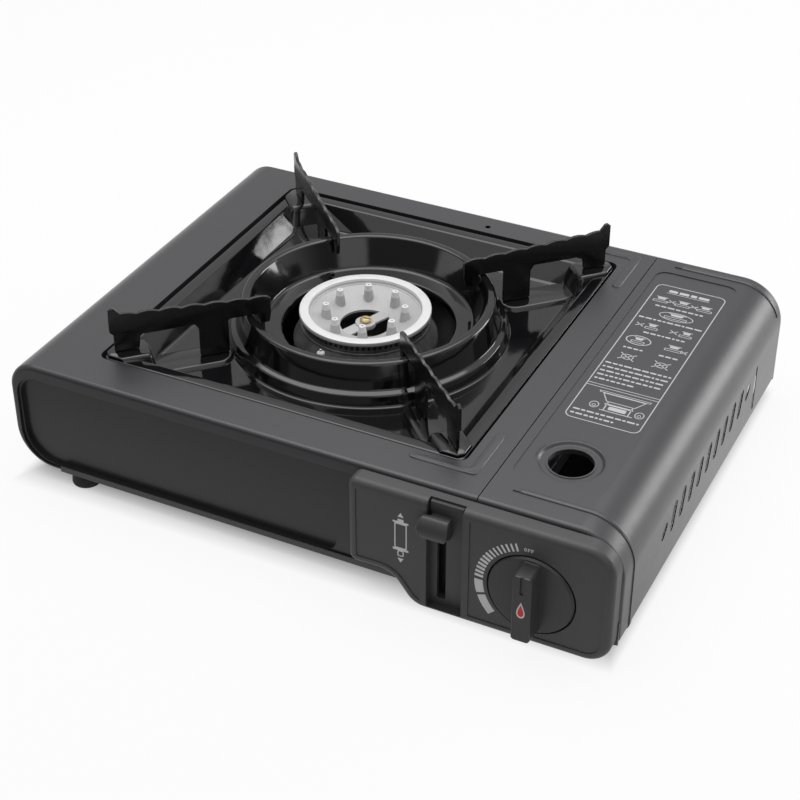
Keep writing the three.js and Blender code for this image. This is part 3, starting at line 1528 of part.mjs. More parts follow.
function controlPanel() {
  const cutBack = block(0, shellWidth, -panelBack, 0, 0, shellTop * 2);
  const outer = standing(outline(panelCorners), -panelFront, -panelBack + 2 * overrun, panelEdge, 3);
  const inner = standing(
    outline(insetCorners(panelCorners, panelWall)), -panelFront + panelWall, -panelBack + 3 * overrun, sheet,
    1,
  );
  const within = standing(outline(insetCorners(panelCorners, sheet)), -panelFront + sheet, -panelBack);
  const channelBlock = common(block(
    channelLeft - panelWall, channelRight + panelWall, -panelFront + sheet, -channelFloor + panelWall, 0,
    shellTop,
  ), within);
  const channel = block(
    channelLeft, channelRight, -panelFront - overrun, -channelFloor, channelEnd, shellTop + overrun,
  );
  const leverSlot = block(slotLeft, slotRight, -panelFront, 0, slotLow, slotHigh);
  const cupFloor = knobFace - knobDiscThick - gap;
  const cup = standing(
    circle(knobX, knobZ, knobRadius + knobGap + panelWall), -panelFront + sheet, -cupFloor + panelWall,
  );
  const well = standing(circle(knobX, knobZ, knobRadius + knobGap), -panelFront - overrun, -cupFloor);
  const hubHole = standing(
    circle(knobX, knobZ, hubRadius + sheet, midSteps), -panelFront, -panelBack + overrun,
  );
  const bossPlaces = [
    [panelLeft + panelBossInset, panelTop - panelBossInset],
    [panelRight - panelBossInset, panelTop - panelBossInset],
    [channelRight + panelBossInset / 2, panelBottom + panelBossInset],
  ];
  const bosses = bossPlaces.map(([x, z]) => standing(
    circle(x, z, panelBossRadius, smallSteps), -panelFront + sheet, -plateFace - gap,
  ));
  const fieldShape = outline(insetCorners(panelCorners, fieldInset));
  const sink = (left, right) => common(
    standing(fieldShape, -panelFront - overrun, -panelFront + fieldSink),
    block(left, right, -panelFront - 2 * overrun, 0, 0, shellTop),
  );
  const shell = cut(join(cut(outer, inner), channelBlock, cup), cutBack);
  return cut(
    join(shell, ...bosses), channel, leverSlot, well, hubHole,
    sink(0, leftFieldEnd), sink(rightFieldStart, shellWidth),
  );
}

addPiece('control_panel', controlPanel(), moulded);

// Knob, spindle and the snail cam that works the igniter
const boreDepth = knobFace - 2.3 * sheet;
const hubBack = halfDepth - 0.4 * sheet;
const gripGroove = 0.7;

function gasKnob() {
  const back = knobFace - knobDiscThick;
  const disc = turnedAlongY([
    [0, -knobFace], [knobRadius - sheet / 2, -knobFace], [knobRadius, -knobFace + sheet / 2],
    [knobRadius, -back],
    [hubRadius, -back], [hubRadius, -hubBack], [0, -hubBack],
  ], knobX, knobZ);
  const grip = loft([
    rectangleRing(
      0, 0, gripWidth / 2 + gripTaper / 3, gripHalfLength + gripTaper, sheet, knobFace - sheet, 3,
    ),
    rectangleRing(0, 0, gripWidth / 2, gripHalfLength, sheet, knobFront - sheet / 2, 3),
    rectangleRing(0, 0, gripWidth / 2 - sheet / 2, gripHalfLength - sheet / 2, sheet / 2, knobFront, 3),
  ]);
  const handle = solid(grip.rotateX(Math.PI / 2).translate(knobX, 0, knobZ));
  const groove = block(
    knobX - gripGroove, knobX + gripGroove, -knobFront - sheet, -knobFront + gripGroove,
    knobZ + gripHalfLength / 2, knobZ + gripHalfLength + sheet,
  );
  const bore = standing(circle(knobX, knobZ, spindleRadius + gap, midSteps), -boreDepth, 0);
  return cut(join(disc, handle), groove, bore);
}

addPiece('gas_knob', gasKnob(), moulded);

function valveSpindle() {
  const front = boreDepth - gap;
  return turnedAlongY([
    [0, -front], [spindleRadius, -front], [spindleRadius, -spindleEnd], [0, -spindleEnd],
  ], knobX, knobZ, midSteps);
}

addPiece('valve_spindle', valveSpindle(), brass);

const camLow = 7;
const camRise = 4;
const knobSweep = 130;
const camSpace = 3.5;
const camThick = 5;
const camRear = valveFront + camSpace;
const camFront = camRear + camThick;
const camStep = 13;

// The cam's radius grows evenly over the knob's sweep, so the plunger moves in step with it
function ignitionCam() {
  const points = [];
  for (let degrees = 180 - knobSweep - camStep; degrees < 540 - knobSweep - camStep; degrees += camStep) {
    const risen = THREE.MathUtils.clamp((180 - degrees) / knobSweep, 0, 1);
    const radius = camLow + camRise * risen;
    const angle = THREE.MathUtils.degToRad(degrees);
    points.push(new THREE.Vector2(knobX + radius * Math.cos(angle), knobZ + radius * Math.sin(angle)));
  }
  const bore = standing(
    circle(knobX, knobZ, spindleRadius + gap, midSteps), -camFront - overrun, -camRear + overrun,
  );
  return cut(standing(new THREE.Shape(points), -camFront, -camRear), bore);
}

addPiece('ignition_cam', ignitionCam(), darkMoulded);

const igniterLength = 16;
const igniterDepth = 12;
const igniterRight = valveLeft + sheet;
const igniterLeft = igniterRight - igniterLength;
const igniterFront = plateFace - sheet - gap;
const igniterRear = igniterFront - igniterDepth;
const igniterHalf = 6;
const plungerRadius = 3;
const plungerY = -(camFront + camRear) / 2;
const plungerLength = 15;

function igniterHousing() {
  const housing = block(
    igniterLeft, igniterRight, -igniterFront, -igniterRear, knobZ - igniterHalf, knobZ + igniterHalf,
  );
  const tip = knobX - camLow - 2 * gap;
  const bore = sideways(
    circle(plungerY, knobZ, plungerRadius + gap, smallSteps), tip - plungerLength - camRise - gap,
    igniterRight + overrun,
  );
  return cut(housing, bore);
}

function igniterPlunger() {
  const tip = knobX - camLow - 2 * gap;
  return turnedAlongX([
    [0, tip - plungerLength], [plungerRadius, tip - plungerLength], [plungerRadius, tip - 2 * sheet],
    [0.7 * plungerRadius, tip - sheet / 2], [0, tip],
  ], plungerY, knobZ, smallSteps);
}

addPiece('igniter_housing', igniterHousing(), moulded);
addPiece('igniter_plunger', igniterPlunger(), plainSteel);

// Moves the stove so that the box round it stands centred on the origin
stove.position.x = -bandRise / 2;
stove.position.y = (knobFront - shellDepth / 2 - gap - pinHeadHeight) / 2;

export default stove;
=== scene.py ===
"""A tabletop butane stove: a dark painted steel body, an enamelled drip pan with four pot supports,
a cast burner head, a hinged lid over the cartridge bay and a moulded control panel.

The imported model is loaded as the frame, its pieces are finished or replaced by finer ones,
and the stage is set for the photograph's view. Sizes are in millimetres from the middle of
the body, and stove_point turns them into metres of the frame.
"""
import json
import math
import random

import bmesh
import bpy
from bpy.props import FloatProperty, FloatVectorProperty, IntProperty, PointerProperty
from mathutils import Matrix, Vector


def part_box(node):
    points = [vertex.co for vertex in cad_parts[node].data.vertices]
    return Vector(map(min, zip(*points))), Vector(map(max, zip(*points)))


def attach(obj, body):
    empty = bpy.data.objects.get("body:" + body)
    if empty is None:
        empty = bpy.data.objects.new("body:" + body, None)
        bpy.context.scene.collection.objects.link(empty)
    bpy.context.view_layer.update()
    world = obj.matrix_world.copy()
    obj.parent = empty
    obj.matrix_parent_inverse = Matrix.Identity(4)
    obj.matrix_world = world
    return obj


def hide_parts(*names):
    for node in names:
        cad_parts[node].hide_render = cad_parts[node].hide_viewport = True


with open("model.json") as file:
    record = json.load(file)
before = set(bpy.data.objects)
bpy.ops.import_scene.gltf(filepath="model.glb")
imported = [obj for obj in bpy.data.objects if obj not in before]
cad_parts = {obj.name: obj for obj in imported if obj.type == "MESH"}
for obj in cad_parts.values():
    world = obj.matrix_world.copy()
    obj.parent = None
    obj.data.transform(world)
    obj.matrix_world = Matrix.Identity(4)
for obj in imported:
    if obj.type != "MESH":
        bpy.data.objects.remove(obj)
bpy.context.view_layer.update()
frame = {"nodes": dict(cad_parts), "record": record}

bl_info = {
    "name": "Tabletop Butane Stove",
    "version": (1, 0, 0),
    "blender": (4, 5, 0),
    "location": "View3D > Sidebar > Stove",
    "description": "Builds the finished pieces of a tabletop butane stove around its packed model",
    "category": "Object",
}

MM = 0.001

# Where the body's middle lies in the frame
BODY_SHIFT_X = -0.25
BODY_SHIFT_Y = 10.45

# Sheets and heights that several pieces share
SHEET = 1.0
BODY_TOP = 71.5
HALF_DEPTH = 126.0
PANEL_FRONT = 136.0

# How far a print starts under the face that it lies on, and how far it stands out of it
PRINT_LOW = -0.02
PRINT_HIGH = 0.05

CORNERS = ("front_left", "front_right", "rear_left", "rear_right")
RECORD = frame["record"]
BODY_OF_NODE = {
    node: body for body, members in RECORD["behaviour"]["bodies"].items() for node in members
}
SLOT_OF_NODE = {part["node"]: part["material_slot"] for part in RECORD["subparts"]}


def centre_of(node):
    """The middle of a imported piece's box, in millimetres of the frame."""
    low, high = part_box(node)
    return [(a + b) / 2 / MM for a, b in zip(low, high)]


def stove_point(x, y, z=0.0):
    """A place measured from the body's middle, in metres of the frame."""
    return Vector(((x + BODY_SHIFT_X) * MM, (y + BODY_SHIFT_Y) * MM, z * MM))


# Sizes and colours that a user may change


def length_setting(name, what, default, low, high):
    return FloatProperty(name=name, description=what + ", in millimetres", default=default, min=low, max=high)


def count_setting(name, what, default, low, high):
    return IntProperty(name=name, description=what, default=default, min=low, max=high)


def colour_setting(name, what, default):
    return FloatVectorProperty(
        name=name, description=what, subtype="COLOR", default=default, min=0.0, max=1.0,
    )


def level_setting(name, what, default):
    return FloatProperty(name=name, description=what, default=default, min=0.0)


class PanSizes(bpy.types.PropertyGroup):
    """The drip pan's pressed forms."""

    floor_depth: length_setting("Floor depth", "Depth of the pan's floor below its rim", 12.0, 6.0, 20.0)
    crest_round: length_setting("Ring rounding", "Bending radius at the top of the ring", 1.9, 1.0, 2.1)
    wall_round: length_setting("Wall rounding", "Bending radius between floor and wall", 3.0, 1.0, 5.0)


class SupportSizes(bpy.types.PropertyGroup):
    """The scalloped pot supports."""

    thickness: length_setting("Sheet", "Thickness of a support", 1.8, 1.0, 3.0)
    scallop_pitch: length_setting("Scallop pitch", "Distance between scallops", 12.0, 6.0, 20.0)
    scallop_depth: length_setting("Scallop depth", "Depth of a scallop", 1.1, 0.0, 2.0)


class BurnerSizes(bpy.types.PropertyGroup):
    """The burner's repeated forms."""

    peg_count: count_setting("Pegs", "Pegs on the burner head", 8, 4, 16)
    port_count: count_setting("Ports", "Flame ports in the ring", 72, 24, 96)


class DialSizes(bpy.types.PropertyGroup):
    """The marks printed round the knob."""

    fine_bars: count_setting("Fine bars", "Thin bars of the scale", 14, 6, 24)
    inner_radius: length_setting("Inner radius", "Where the bars start", 24.6, 23.0, 27.0)
    outer_radius: length_setting("Outer radius", "Where the bars end", 29.0, 27.5, 31.0)


class FinishColours(bpy.types.PropertyGroup):
    """The colours of the stove's finishes."""

    body_paint: colour_setting("Body paint", "Powder coat of the body and the lid", (0.022, 0.022, 0.026))
    panel_paint: colour_setting("Panel paint", "Paint of the front and rear plates", (0.016, 0.016, 0.017))
    enamel: colour_setting("Enamel", "Glass enamel of the drip pan", (0.004, 0.004, 0.005))
    moulding: colour_setting("Moulding", "Plastic of the control panel", (0.062, 0.062, 0.064))
    casting: colour_setting("Casting", "Aluminium of the burner head", (0.86, 0.86, 0.87))
    print_ink: colour_setting("Print", "Pale ink of the marks", (0.66, 0.66, 0.67))


class StageSettings(bpy.types.PropertyGroup):
    """The studio round the stove."""

    ceiling_power: level_setting("Ceiling light", "Power of the large light above, in watts", 9.0)
    side_power: level_setting("Side light", "Power of the light from the right, in watts", 5.0)
    room_level: level_setting("Room light", "Strength of the even light from all round", 0.42)


# Materials, whose values are added and mixed like numbers


def set_socket(tree, target, value):
    """Links a socket to the one given, or stores a plain value or a colour in it."""
    if hasattr(value, "node"):
        tree.links.new(value, target)
    elif isinstance(value, tuple) and len(value) == 3 and target.type == "RGBA":
        target.default_value = (*value, 1.0)
    else:
        target.default_value = value


def add_node(tree, kind, settings, inputs, output=0):
    """A new node with its settings and its inputs. One of its outputs comes back."""
    made = tree.nodes.new(kind)
    for key, value in settings.items():
        setattr(made, key, value)
    for key, value in inputs.items():
        set_socket(tree, made.inputs[key], value)
    return made.outputs[output]


class Shade:
    """A value inside a material, which adds Math nodes when it is used in a sum."""

    def __init__(self, board, socket):
        self.board = board
        self.socket = socket

    def maths(self, operation, *values):
        return self.board.node("ShaderNodeMath", {"operation": operation}, dict(enumerate(values)))

    def __add__(self, other):
        return self.maths("ADD", self, other)

    def __radd__(self, other):
        return self.maths("ADD", other, self)

    def __rsub__(self, other):
        return self.maths("SUBTRACT", other, self)

    def __mul__(self, other):
        return self.maths("MULTIPLY", self, other)

    def above(self, level):
        return self.maths("GREATER_THAN", self, level)

    def within(self, low, high):
        """0 at low and less, 1 at high and more, and an even rise between them."""
        return self.board.node(
            "ShaderNodeMapRange", {}, {"Value": self, "From Min": low, "From Max": high}, "Result",
        )


class Board:
    """The node tree of one material."""

    def __init__(self, name):
        self.material = bpy.data.materials.new(name)
        self.material.use_nodes = True
        self.tree = self.material.node_tree
        self.shader = self.tree.nodes["Principled BSDF"]

    def node(self, kind, settings, inputs, output=0):
        plain = {key: value.socket if isinstance(value, Shade) else value for key, value in inputs.items()}
        return Shade(self, add_node(self.tree, kind, settings, plain, output))

    def place(self):
        """The point on the piece, in metres of the frame."""
        return self.node("ShaderNodeTexCoord", {}, {}, "Object")

    def maths_max(self, first, second):
        return self.node("ShaderNodeMath", {"operation": "MAXIMUM"}, {0: first, 1: second})

    def noise(self, grain, detail=2.0, roughness=0.5, stretch=None):
        """Noise whose grain is given in millimetres."""
        where = self.place()
        if stretch:
            where = self.node("ShaderNodeMapping", {}, {"Vector": where, "Scale": stretch})
        scale = 1 / (grain * MM)
        return self.node(
            "ShaderNodeTexNoise", {},
            {"Vector": where, "Scale": scale, "Detail": detail, "Roughness": roughness}, "Fac",
        )

    def cells(self, size, output):
        """Cells whose size is given in millimetres: the distance to the middle, or a colour for each."""
        inputs = {"Vector": self.place(), "Scale": 1 / (size * MM)}
        return self.node("ShaderNodeTexVoronoi", {"feature": "F1"}, inputs, output)

    def blend(self, share, first, second):
        """Two colours mixed. The sockets for colours follow those for numbers and vectors."""
        return self.node("ShaderNodeMix", {"data_type": "RGBA"}, {0: share, 6: first, 7: second}, 2)

    def bump(self, height, depth, under=None):
        """A bump whose full depth is given in millimetres."""
        sockets = {"Height": height, "Strength": 1.0, "Distance": depth * MM}
        if under:
            sockets["Normal"] = under
        return self.node("ShaderNodeBump", {}, sockets)

    def set(self, **sockets):
        """Fills the surface's own sockets, named with an underline for each space."""
        for key, value in sockets.items():
            plain = value.socket if isinstance(value, Shade) else value
            set_socket(self.tree, self.shader.inputs[key.replace("_", " ")], plain)
        return self.material


def tinted(colour, factor):
    """A colour made darker or lighter by a factor."""
    return tuple(min(1.0, part * factor) for part in colour)


def powder_coat(name, colour, roughness, peel, coat):
    """Baked powder paint: a fine peel, faint clouds and pale specks under a thin clear skin."""
    board = Board(name)
    clouds = board.noise(60, 2.0)
    speckle = board.noise(0.45, 1.0).within(0.55, 0.75)
    shade = board.blend(clouds, tinted(colour, 0.93), tinted(colour, 1.07))
    shade = board.blend(speckle * 0.22, shade, tinted(colour, 1.7))
    grain = board.noise(1.1, 2.0) + board.noise(0.35, 1.0) * 0.5
    return board.set(
        Base_Color=shade,
        Roughness=roughness - 0.05 + board.noise(9, 3.0) * 0.1,
        Normal=board.bump(grain, peel),
        Coat_Weight=coat,
        Coat_Roughness=0.32,
    )


def glass_enamel(name, colour, roughness, wave, pits):
    """Glass fused to steel: a slow swell, small pits, a film from handling and a few specks."""
    board = Board(name)
    swell = board.bump(board.noise(18, 2.0), wave)
    skin = board.bump(board.noise(0.9, 2.0), pits, swell)
    film = board.noise(24, 4.0, 0.6).within(0.45, 0.75)
    specks = board.noise(1.6, 1.0).above(0.74)
    shade = board.blend(specks * 0.5, colour, tinted(colour, 2.2))
    return board.set(
        Base_Color=shade, Roughness=roughness + film * 0.07 + specks * 0.1, Normal=skin, IOR=1.65,
    )


def moulded_plastic(name, colour, roughness, grain_depth):
    """Plastic with a spark-eroded grain and faint flow streaks."""
    board = Board(name)
    flow = board.noise(35, 2.0, 0.5, (1.0, 1.0, 0.35))
    shade = board.blend(flow, tinted(colour, 0.94), tinted(colour, 1.06))
    return board.set(
        Base_Color=shade,
        Roughness=roughness - 0.04 + board.noise(14, 3.0) * 0.08,
        Normal=board.bump(board.cells(0.5, "Distance"), grain_depth),
    )


def cast_metal(name, colour, metallic, roughness, blast, dish_below=None, dish_colour=None):
    """A die casting. Below dish_below, in millimetres, it is darker and less metallic."""
    board = Board(name)
    grain = board.noise(0.5, 3.0, 0.7)
    stains = board.noise(12, 3.0, 0.6).within(0.4, 0.8)
    bright = board.blend(stains * 0.35, colour, tinted(colour, 0.85))
    shade = bright
    metal = metallic
    if dish_below:
        height = board.node("ShaderNodeSeparateXYZ", {}, {"Vector": board.place()}, "Z")
        share = 1 - height.within((dish_below - 0.5) * MM, dish_below * MM)
        mottled = board.blend(grain.within(0.35, 0.65), tinted(dish_colour, 0.9), tinted(dish_colour, 1.08))
        shade = board.blend(share, bright, mottled)
        metal = metallic - share * (metallic * 0.6)
    return board.set(
        Base_Color=shade,
        Metallic=metal,
        Roughness=roughness + grain * 0.12,
        Normal=board.bump(grain, blast),
    )


def plated_steel(name, colour, roughness):
    """Metal sheet or bar with a fine grain and the patches of its plating."""
    board = Board(name)
    lines = board.noise(0.6, 3.0, 0.6)
    tone = board.node("ShaderNodeRGBToBW", {}, {"Color": board.cells(9, "Color")})
    shade = board.blend(tone * 0.5, tinted(colour, 0.88), tinted(colour, 1.12))
    return board.set(
        Base_Color=shade, Metallic=0.9, Roughness=roughness + lines * 0.16, Normal=board.bump(lines, 0.015),
    )


def black_heat_coat(name, colour):
    """The black coat of a casting near the flame, greyer where soot was burnt off."""
    board = Board(name)
    soot = board.noise(7, 4.0, 0.65)
    grain = board.noise(0.7, 2.0)
    shade = board.blend(soot.within(0.4, 0.7), colour, tinted(colour, 1.8))
    return board.set(
        Base_Color=shade, Metallic=0.35, Roughness=0.38 + soot * 0.25, Normal=board.bump(grain, 0.03),
    )


def soft_rubber(name, colour):
    """Matt rubber with dust on it."""
    board = Board(name)
    grain = board.noise(0.8, 3.0, 0.6)
    dust = board.noise(5, 3.0, 0.6).within(0.5, 0.75)
    shade = board.blend(dust * 0.5, colour, tinted(colour, 2.4))
    return board.set(Base_Color=shade, Roughness=0.75 + dust * 0.15, Normal=board.bump(grain, 0.04))


def glazed_ceramic(name, colour):
    """White ceramic under a glaze."""
    board = Board(name)
    tone = board.noise(4, 2.0)
    shade = board.blend(tone, tinted(colour, 0.96), colour)
    return board.set(Base_Color=shade, Roughness=0.18 + tone * 0.1, Normal=board.bump(board.noise(1.2), 0.01))


def printed_ink(name, colour, roughness=0.45):
    """Screen-printed ink that is a little thinner in places."""
    board = Board(name)
    patchy = board.noise(0.5, 2.0).within(0.3, 0.8)
    shade = board.blend(patchy, tinted(colour, 0.88), colour)
    return board.set(Base_Color=shade, Roughness=roughness + patchy * 0.1)


FINISHES = {}


def make_finishes(colours):
    """Every finish of the stove, by a short name that for most is its material slot's."""
    paint = tuple(colours.body_paint)
    panel = tuple(colours.panel_paint)
    enamel = tuple(colours.enamel)
    moulding = tuple(colours.moulding)
    casting = tuple(colours.casting)
    FINISHES.update({
        "body_paint": powder_coat("body_powder_coat", paint, 0.44, 0.035, 0.6),
        "panel_paint": powder_coat("panel_satin_paint", panel, 0.34, 0.012, 0.3),
        "black_enamel": glass_enamel("pan_glass_enamel", enamel, 0.07, 0.10, 0.004),
        "support_enamel": glass_enamel("support_enamel", tinted(enamel, 1.3), 0.22, 0.05, 0.03),
        "moulded_plastic": moulded_plastic("panel_moulding", moulding, 0.42, 0.018),
        "dark_plastic": moulded_plastic("lever_moulding", tinted(moulding, 0.80), 0.38, 0.015),
        "knob_plastic": moulded_plastic("knob_moulding", tinted(moulding, 0.72), 0.36, 0.012),
        "cast_aluminium": cast_metal(
            "burner_head_casting", casting, 0.25, 0.42, 0.05, dish_below=70.9,
            dish_colour=(0.56, 0.555, 0.555),
        ),
        "zinc_casting": cast_metal("valve_casting", (0.36, 0.37, 0.39), 0.7, 0.42, 0.03),
        "black_iron": black_heat_coat("burner_heat_coat", (0.12, 0.12, 0.122)),
        "port_steel": black_heat_coat("port_ring_skin", (0.11, 0.11, 0.112)),
        "dark_steel": plated_steel("tube_steel", (0.13, 0.13, 0.14), 0.30),
        "plain_steel": plated_steel("zinc_plated_steel", (0.46, 0.47, 0.48), 0.28),
        "brass": plated_steel("turned_brass", (0.62, 0.50, 0.27), 0.22),
        "black_rubber": soft_rubber("foot_rubber", (0.014, 0.014, 0.015)),
        "white_ceramic": glazed_ceramic("electrode_glaze", (0.86, 0.85, 0.81)),
        "pale_ink": printed_ink("pale_ink", tuple(colours.print_ink)),
        "red_ink": printed_ink("red_ink", (0.62, 0.03, 0.02), 0.35),
    })


# Mesh helpers


def in_scene(name, data):
    """A new object, put into the scene."""
    made = bpy.data.objects.new(name, data)
    bpy.context.scene.collection.objects.link(made)
    return made


def evaluated_mesh(holder):
    """The mesh that an object has after its modifiers, or that its curve makes."""
    graph = bpy.context.evaluated_depsgraph_get()
    return bpy.data.meshes.new_from_object(holder.evaluated_get(graph), depsgraph=graph)


def rounded_line(corners, steps=6):
    """An open line of (x, y) points from corners given as (x, y, radius)."""
    points = [Vector(corners[0][:2])]
    for before, here, after in zip(corners, corners[1:], corners[2:]):
        points += corner_arc(before, here, after, steps)
    points.append(Vector(corners[-1][:2]))
    return [(p.x, p.y) for p in points]


def rounded_loop(corners, steps=6):
    """A closed outline of (x, y) points from corners given as (x, y, radius)."""
    points = []
    for i, here in enumerate(corners):
        points += corner_arc(corners[i - 1], here, corners[(i + 1) % len(corners)], steps)
    return [(p.x, p.y) for p in points]


def corner_arc(before, here, after, steps):
    spot = Vector(here[:2])
    radius = here[2]
    if radius <= 0:
        return [spot]
    back = (Vector(before[:2]) - spot).normalized()
    ahead = (Vector(after[:2]) - spot).normalized()
    half = math.acos(max(-1.0, min(1.0, back.dot(ahead)))) / 2
    reach = radius / math.tan(half)
    middle = spot + (back + ahead).normalized() * radius / math.sin(half)
    start = spot + back * reach - middle
    turn = start.angle_signed(spot + ahead * reach - middle)
    arc = []
    for k in range(steps + 1):
        angle = -turn * k / steps
        arc.append(middle + Matrix.Rotation(angle, 2) @ start)
    return arc


def inset_loop(loop, distance):
    """A closed outline moved inwards by an even distance."""
    area = sum(a[0] * b[1] - b[0] * a[1] for a, b in zip(loop, loop[1:] + loop[:1]))
    side = 1 if area > 0 else -1
    moved = []
    for k, (x, y) in enumerate(loop):
        before = Vector((x - loop[k - 1][0], y - loop[k - 1][1])).normalized()
        after = Vector((loop[(k + 1) % len(loop)][0] - x, loop[(k + 1) % len(loop)][1] - y)).normalized()
        normal = Vector((-(before.y + after.y), before.x + after.x)).normalized() * side
        spread = max(0.3, normal.dot(Vector((-after.y, after.x)) * side))
        moved.append((x + normal.x * distance / spread, y + normal.y * distance / spread))
    return moved


def inset_corners(corners, distance, least=1.0):
    """The corners of an outline, given in turn to the left, moved inwards with their radii."""
    moved = []
    for k, (x, y, radius) in enumerate(corners):
        spot = Vector((x, y))
        into = (spot - Vector(corners[k - 1][:2])).normalized()
        out = (Vector(corners[(k + 1) % len(corners)][:2]) - spot).normalized()
        normal = Vector((-into.y, into.x))
        middle = (normal + Vector((-out.y, out.x))).normalized()
        place = spot + middle * distance / middle.dot(normal)
        outer_corner = into.cross(out) > 0
        moved.append((place.x, place.y, max(radius - distance, least) if outer_corner else radius + distance))
    return moved


def circle_loop(x, y, radius, steps=64):
    return [
        (x + radius * math.cos(2 * math.pi * k / steps), y + radius * math.sin(2 * math.pi * k / steps))
        for k in range(steps)
    ]


def capsule_loop(x0, y0, x1, y1, width, steps=10):
    """A closed outline with round ends between two points."""
    along = math.atan2(y1 - y0, x1 - x0)
    loop = []
    for x, y, start in ((x1, y1, along - math.pi / 2), (x0, y0, along + math.pi / 2)):
        for k in range(steps + 1):
            angle = start + math.pi * k / steps
            loop.append((x + width / 2 * math.cos(angle), y + width / 2 * math.sin(angle)))
    return loop


def box_loop(x0, x1, y0, y1, radius, steps=6):
    return rounded_loop([(x0, y0, radius), (x1, y0, radius), (x1, y1, radius), (x0, y1, radius)], steps)


def mesh_from(name, points, faces):
    mesh = bpy.data.meshes.new(name)
    mesh.from_pydata([tuple(p) for p in points], [], faces)
    mesh.validate()
    return mesh


def outward(mesh, merge=1e-7):
    """Merges doubled corners and turns every face outwards."""
    work = bmesh.new()
    work.from_mesh(mesh)
    bmesh.ops.remove_doubles(work, verts=work.verts, dist=merge)
    bmesh.ops.recalc_face_normals(work, faces=work.faces)
    work.to_mesh(mesh)
    work.free()
    return mesh


def turned(profile, steps=96):
    """A turned form about Z from a closed line of (radius, height) pairs in millimetres."""
    points = []
    faces = []
    count = len(profile)
    for k in range(steps):
        angle = 2 * math.pi * k / steps
        c, s = math.cos(angle), math.sin(angle)
        points += [(r * c * MM, r * s * MM, z * MM) for r, z in profile]
    for k in range(steps):
        a, b = k * count, ((k + 1) % steps) * count
        for i in range(count):
            j = (i + 1) % count
            if profile[i][0] < 1e-6 and profile[j][0] < 1e-6:
                continue
            faces.append((a + i, b + i, b + j, a + j))
    return outward(mesh_from("turned", points, faces), 1e-6)


def lathed(corners, corner_steps, steps):
    """A turned form from corners given as (radius, height, rounding)."""
    return turned(rounded_line(corners, corner_steps), steps)


def lofted(rings):
    """A closed form through rings of equally many (x, y, z) points in millimetres."""
    count = len(rings[0])
    points = [(x * MM, y * MM, z * MM) for ring in rings for x, y, z in ring]
    faces = []
    for r in range(len(rings) - 1):
        for k in range(count):
            a, b = r * count + k, r * count + (k + 1) % count
            faces.append((a, b, b + count, a + count))
    faces.append(tuple(range(count))[::-1])
    last = (len(rings) - 1) * count
    faces.append(tuple(range(last, last + count)))
    return outward(mesh_from("lofted", points, faces))


def sheet_form(loops, low, high, edge=0.0, edge_steps=2):
    """A flat form between two heights, cut to closed outlines; inner outlines are holes."""
    curve = bpy.data.curves.new("flat_form", "CURVE")
    curve.dimensions = "2D"
    curve.fill_mode = "BOTH"
    curve.extrude = ((high - low) / 2 - edge) * MM
    curve.bevel_depth = edge * MM
    curve.bevel_resolution = edge_steps
    curve.offset = -edge * MM
    for loop in loops:
        spline = curve.splines.new("POLY")
        spline.points.add(len(loop) - 1)
        for point, (x, y) in zip(spline.points, loop):
            point.co = (x * MM, y * MM, 0.0, 1.0)
        spline.use_cyclic_u = True
    holder = in_scene("flat_form", curve)
    mesh = evaluated_mesh(holder)
    bpy.data.objects.remove(holder)
    bpy.data.curves.remove(curve)
    mesh.transform(Matrix.Translation((0, 0, (low + high) / 2 * MM)))
    return outward(mesh, 1e-6)


# Turns of a form that was drawn flat: its Y up and its height to the rear, or its height to the front
STAND_UP = Matrix(((1, 0, 0, 0), (0, 0, 1, 0), (0, 1, 0, 0), (0, 0, 0, 1)))
FACE_FRONT = Matrix(((1, 0, 0, 0), (0, 0, -1, 0), (0, 1, 0, 0), (0, 0, 0, 1)))


def facing_front(mesh):
    """Stands a form up: its Y becomes Z, and its height runs along Y."""
    mesh.transform(STAND_UP)
    return outward(mesh)


def shifted(mesh, x=0.0, y=0.0, z=0.0):
    mesh.transform(Matrix.Translation(Vector((x, y, z)) * MM))
    return mesh


def on_body(mesh, x=0.0, y=0.0):
    """Moves a form that was drawn from a point of the body to its place in the frame."""
    return shifted(mesh, x + BODY_SHIFT_X, y + BODY_SHIFT_Y)


def spun(mesh, angle):
    mesh.transform(Matrix.Rotation(angle, 4, "Z"))
    return mesh


def merged(name, meshes):
    """One mesh from several, each of which stays a closed form."""
    work = bmesh.new()
    for mesh in meshes:
        work.from_mesh(mesh)
        bpy.data.meshes.remove(mesh)
    mesh = bpy.data.meshes.new(name)
    work.to_mesh(mesh)
    work.free()
    return mesh


def eased(mesh, edge, sharp, segments):
    """The mesh with its sharp edges rounded, and with normals that keep flat faces flat."""
    holder = in_scene("eased", mesh)
    bevel = holder.modifiers.new("edges", "BEVEL")
    bevel.width = edge * MM
    bevel.segments = segments
    bevel.limit_method = "ANGLE"
    bevel.angle_limit = math.radians(sharp)
    normals = holder.modifiers.new("normals", "WEIGHTED_NORMAL")
    normals.keep_sharp = True
    return plain_mesh(holder)


def plain_mesh(holder):
    """The evaluated mesh of an object, which is then removed with the mesh that it had."""
    made = evaluated_mesh(holder)
    before = holder.data
    bpy.data.objects.remove(holder)
    bpy.data.meshes.remove(before)
    return made


def combined(mesh, other, operation):
    """A form with another one cut out of it (DIFFERENCE) or joined to it (UNION)."""
    holders = [in_scene("form", form) for form in (mesh, other)]
    change = holders[0].modifiers.new("change", "BOOLEAN")
    change.operation = operation
    change.solver = "EXACT"
    change.object = holders[1]
    made = plain_mesh(holders[0])
    bpy.data.objects.remove(holders[1])
    bpy.data.meshes.remove(other)
    if len(made.polygons) < 4:
        raise RuntimeError("a combined form came out empty")
    return made


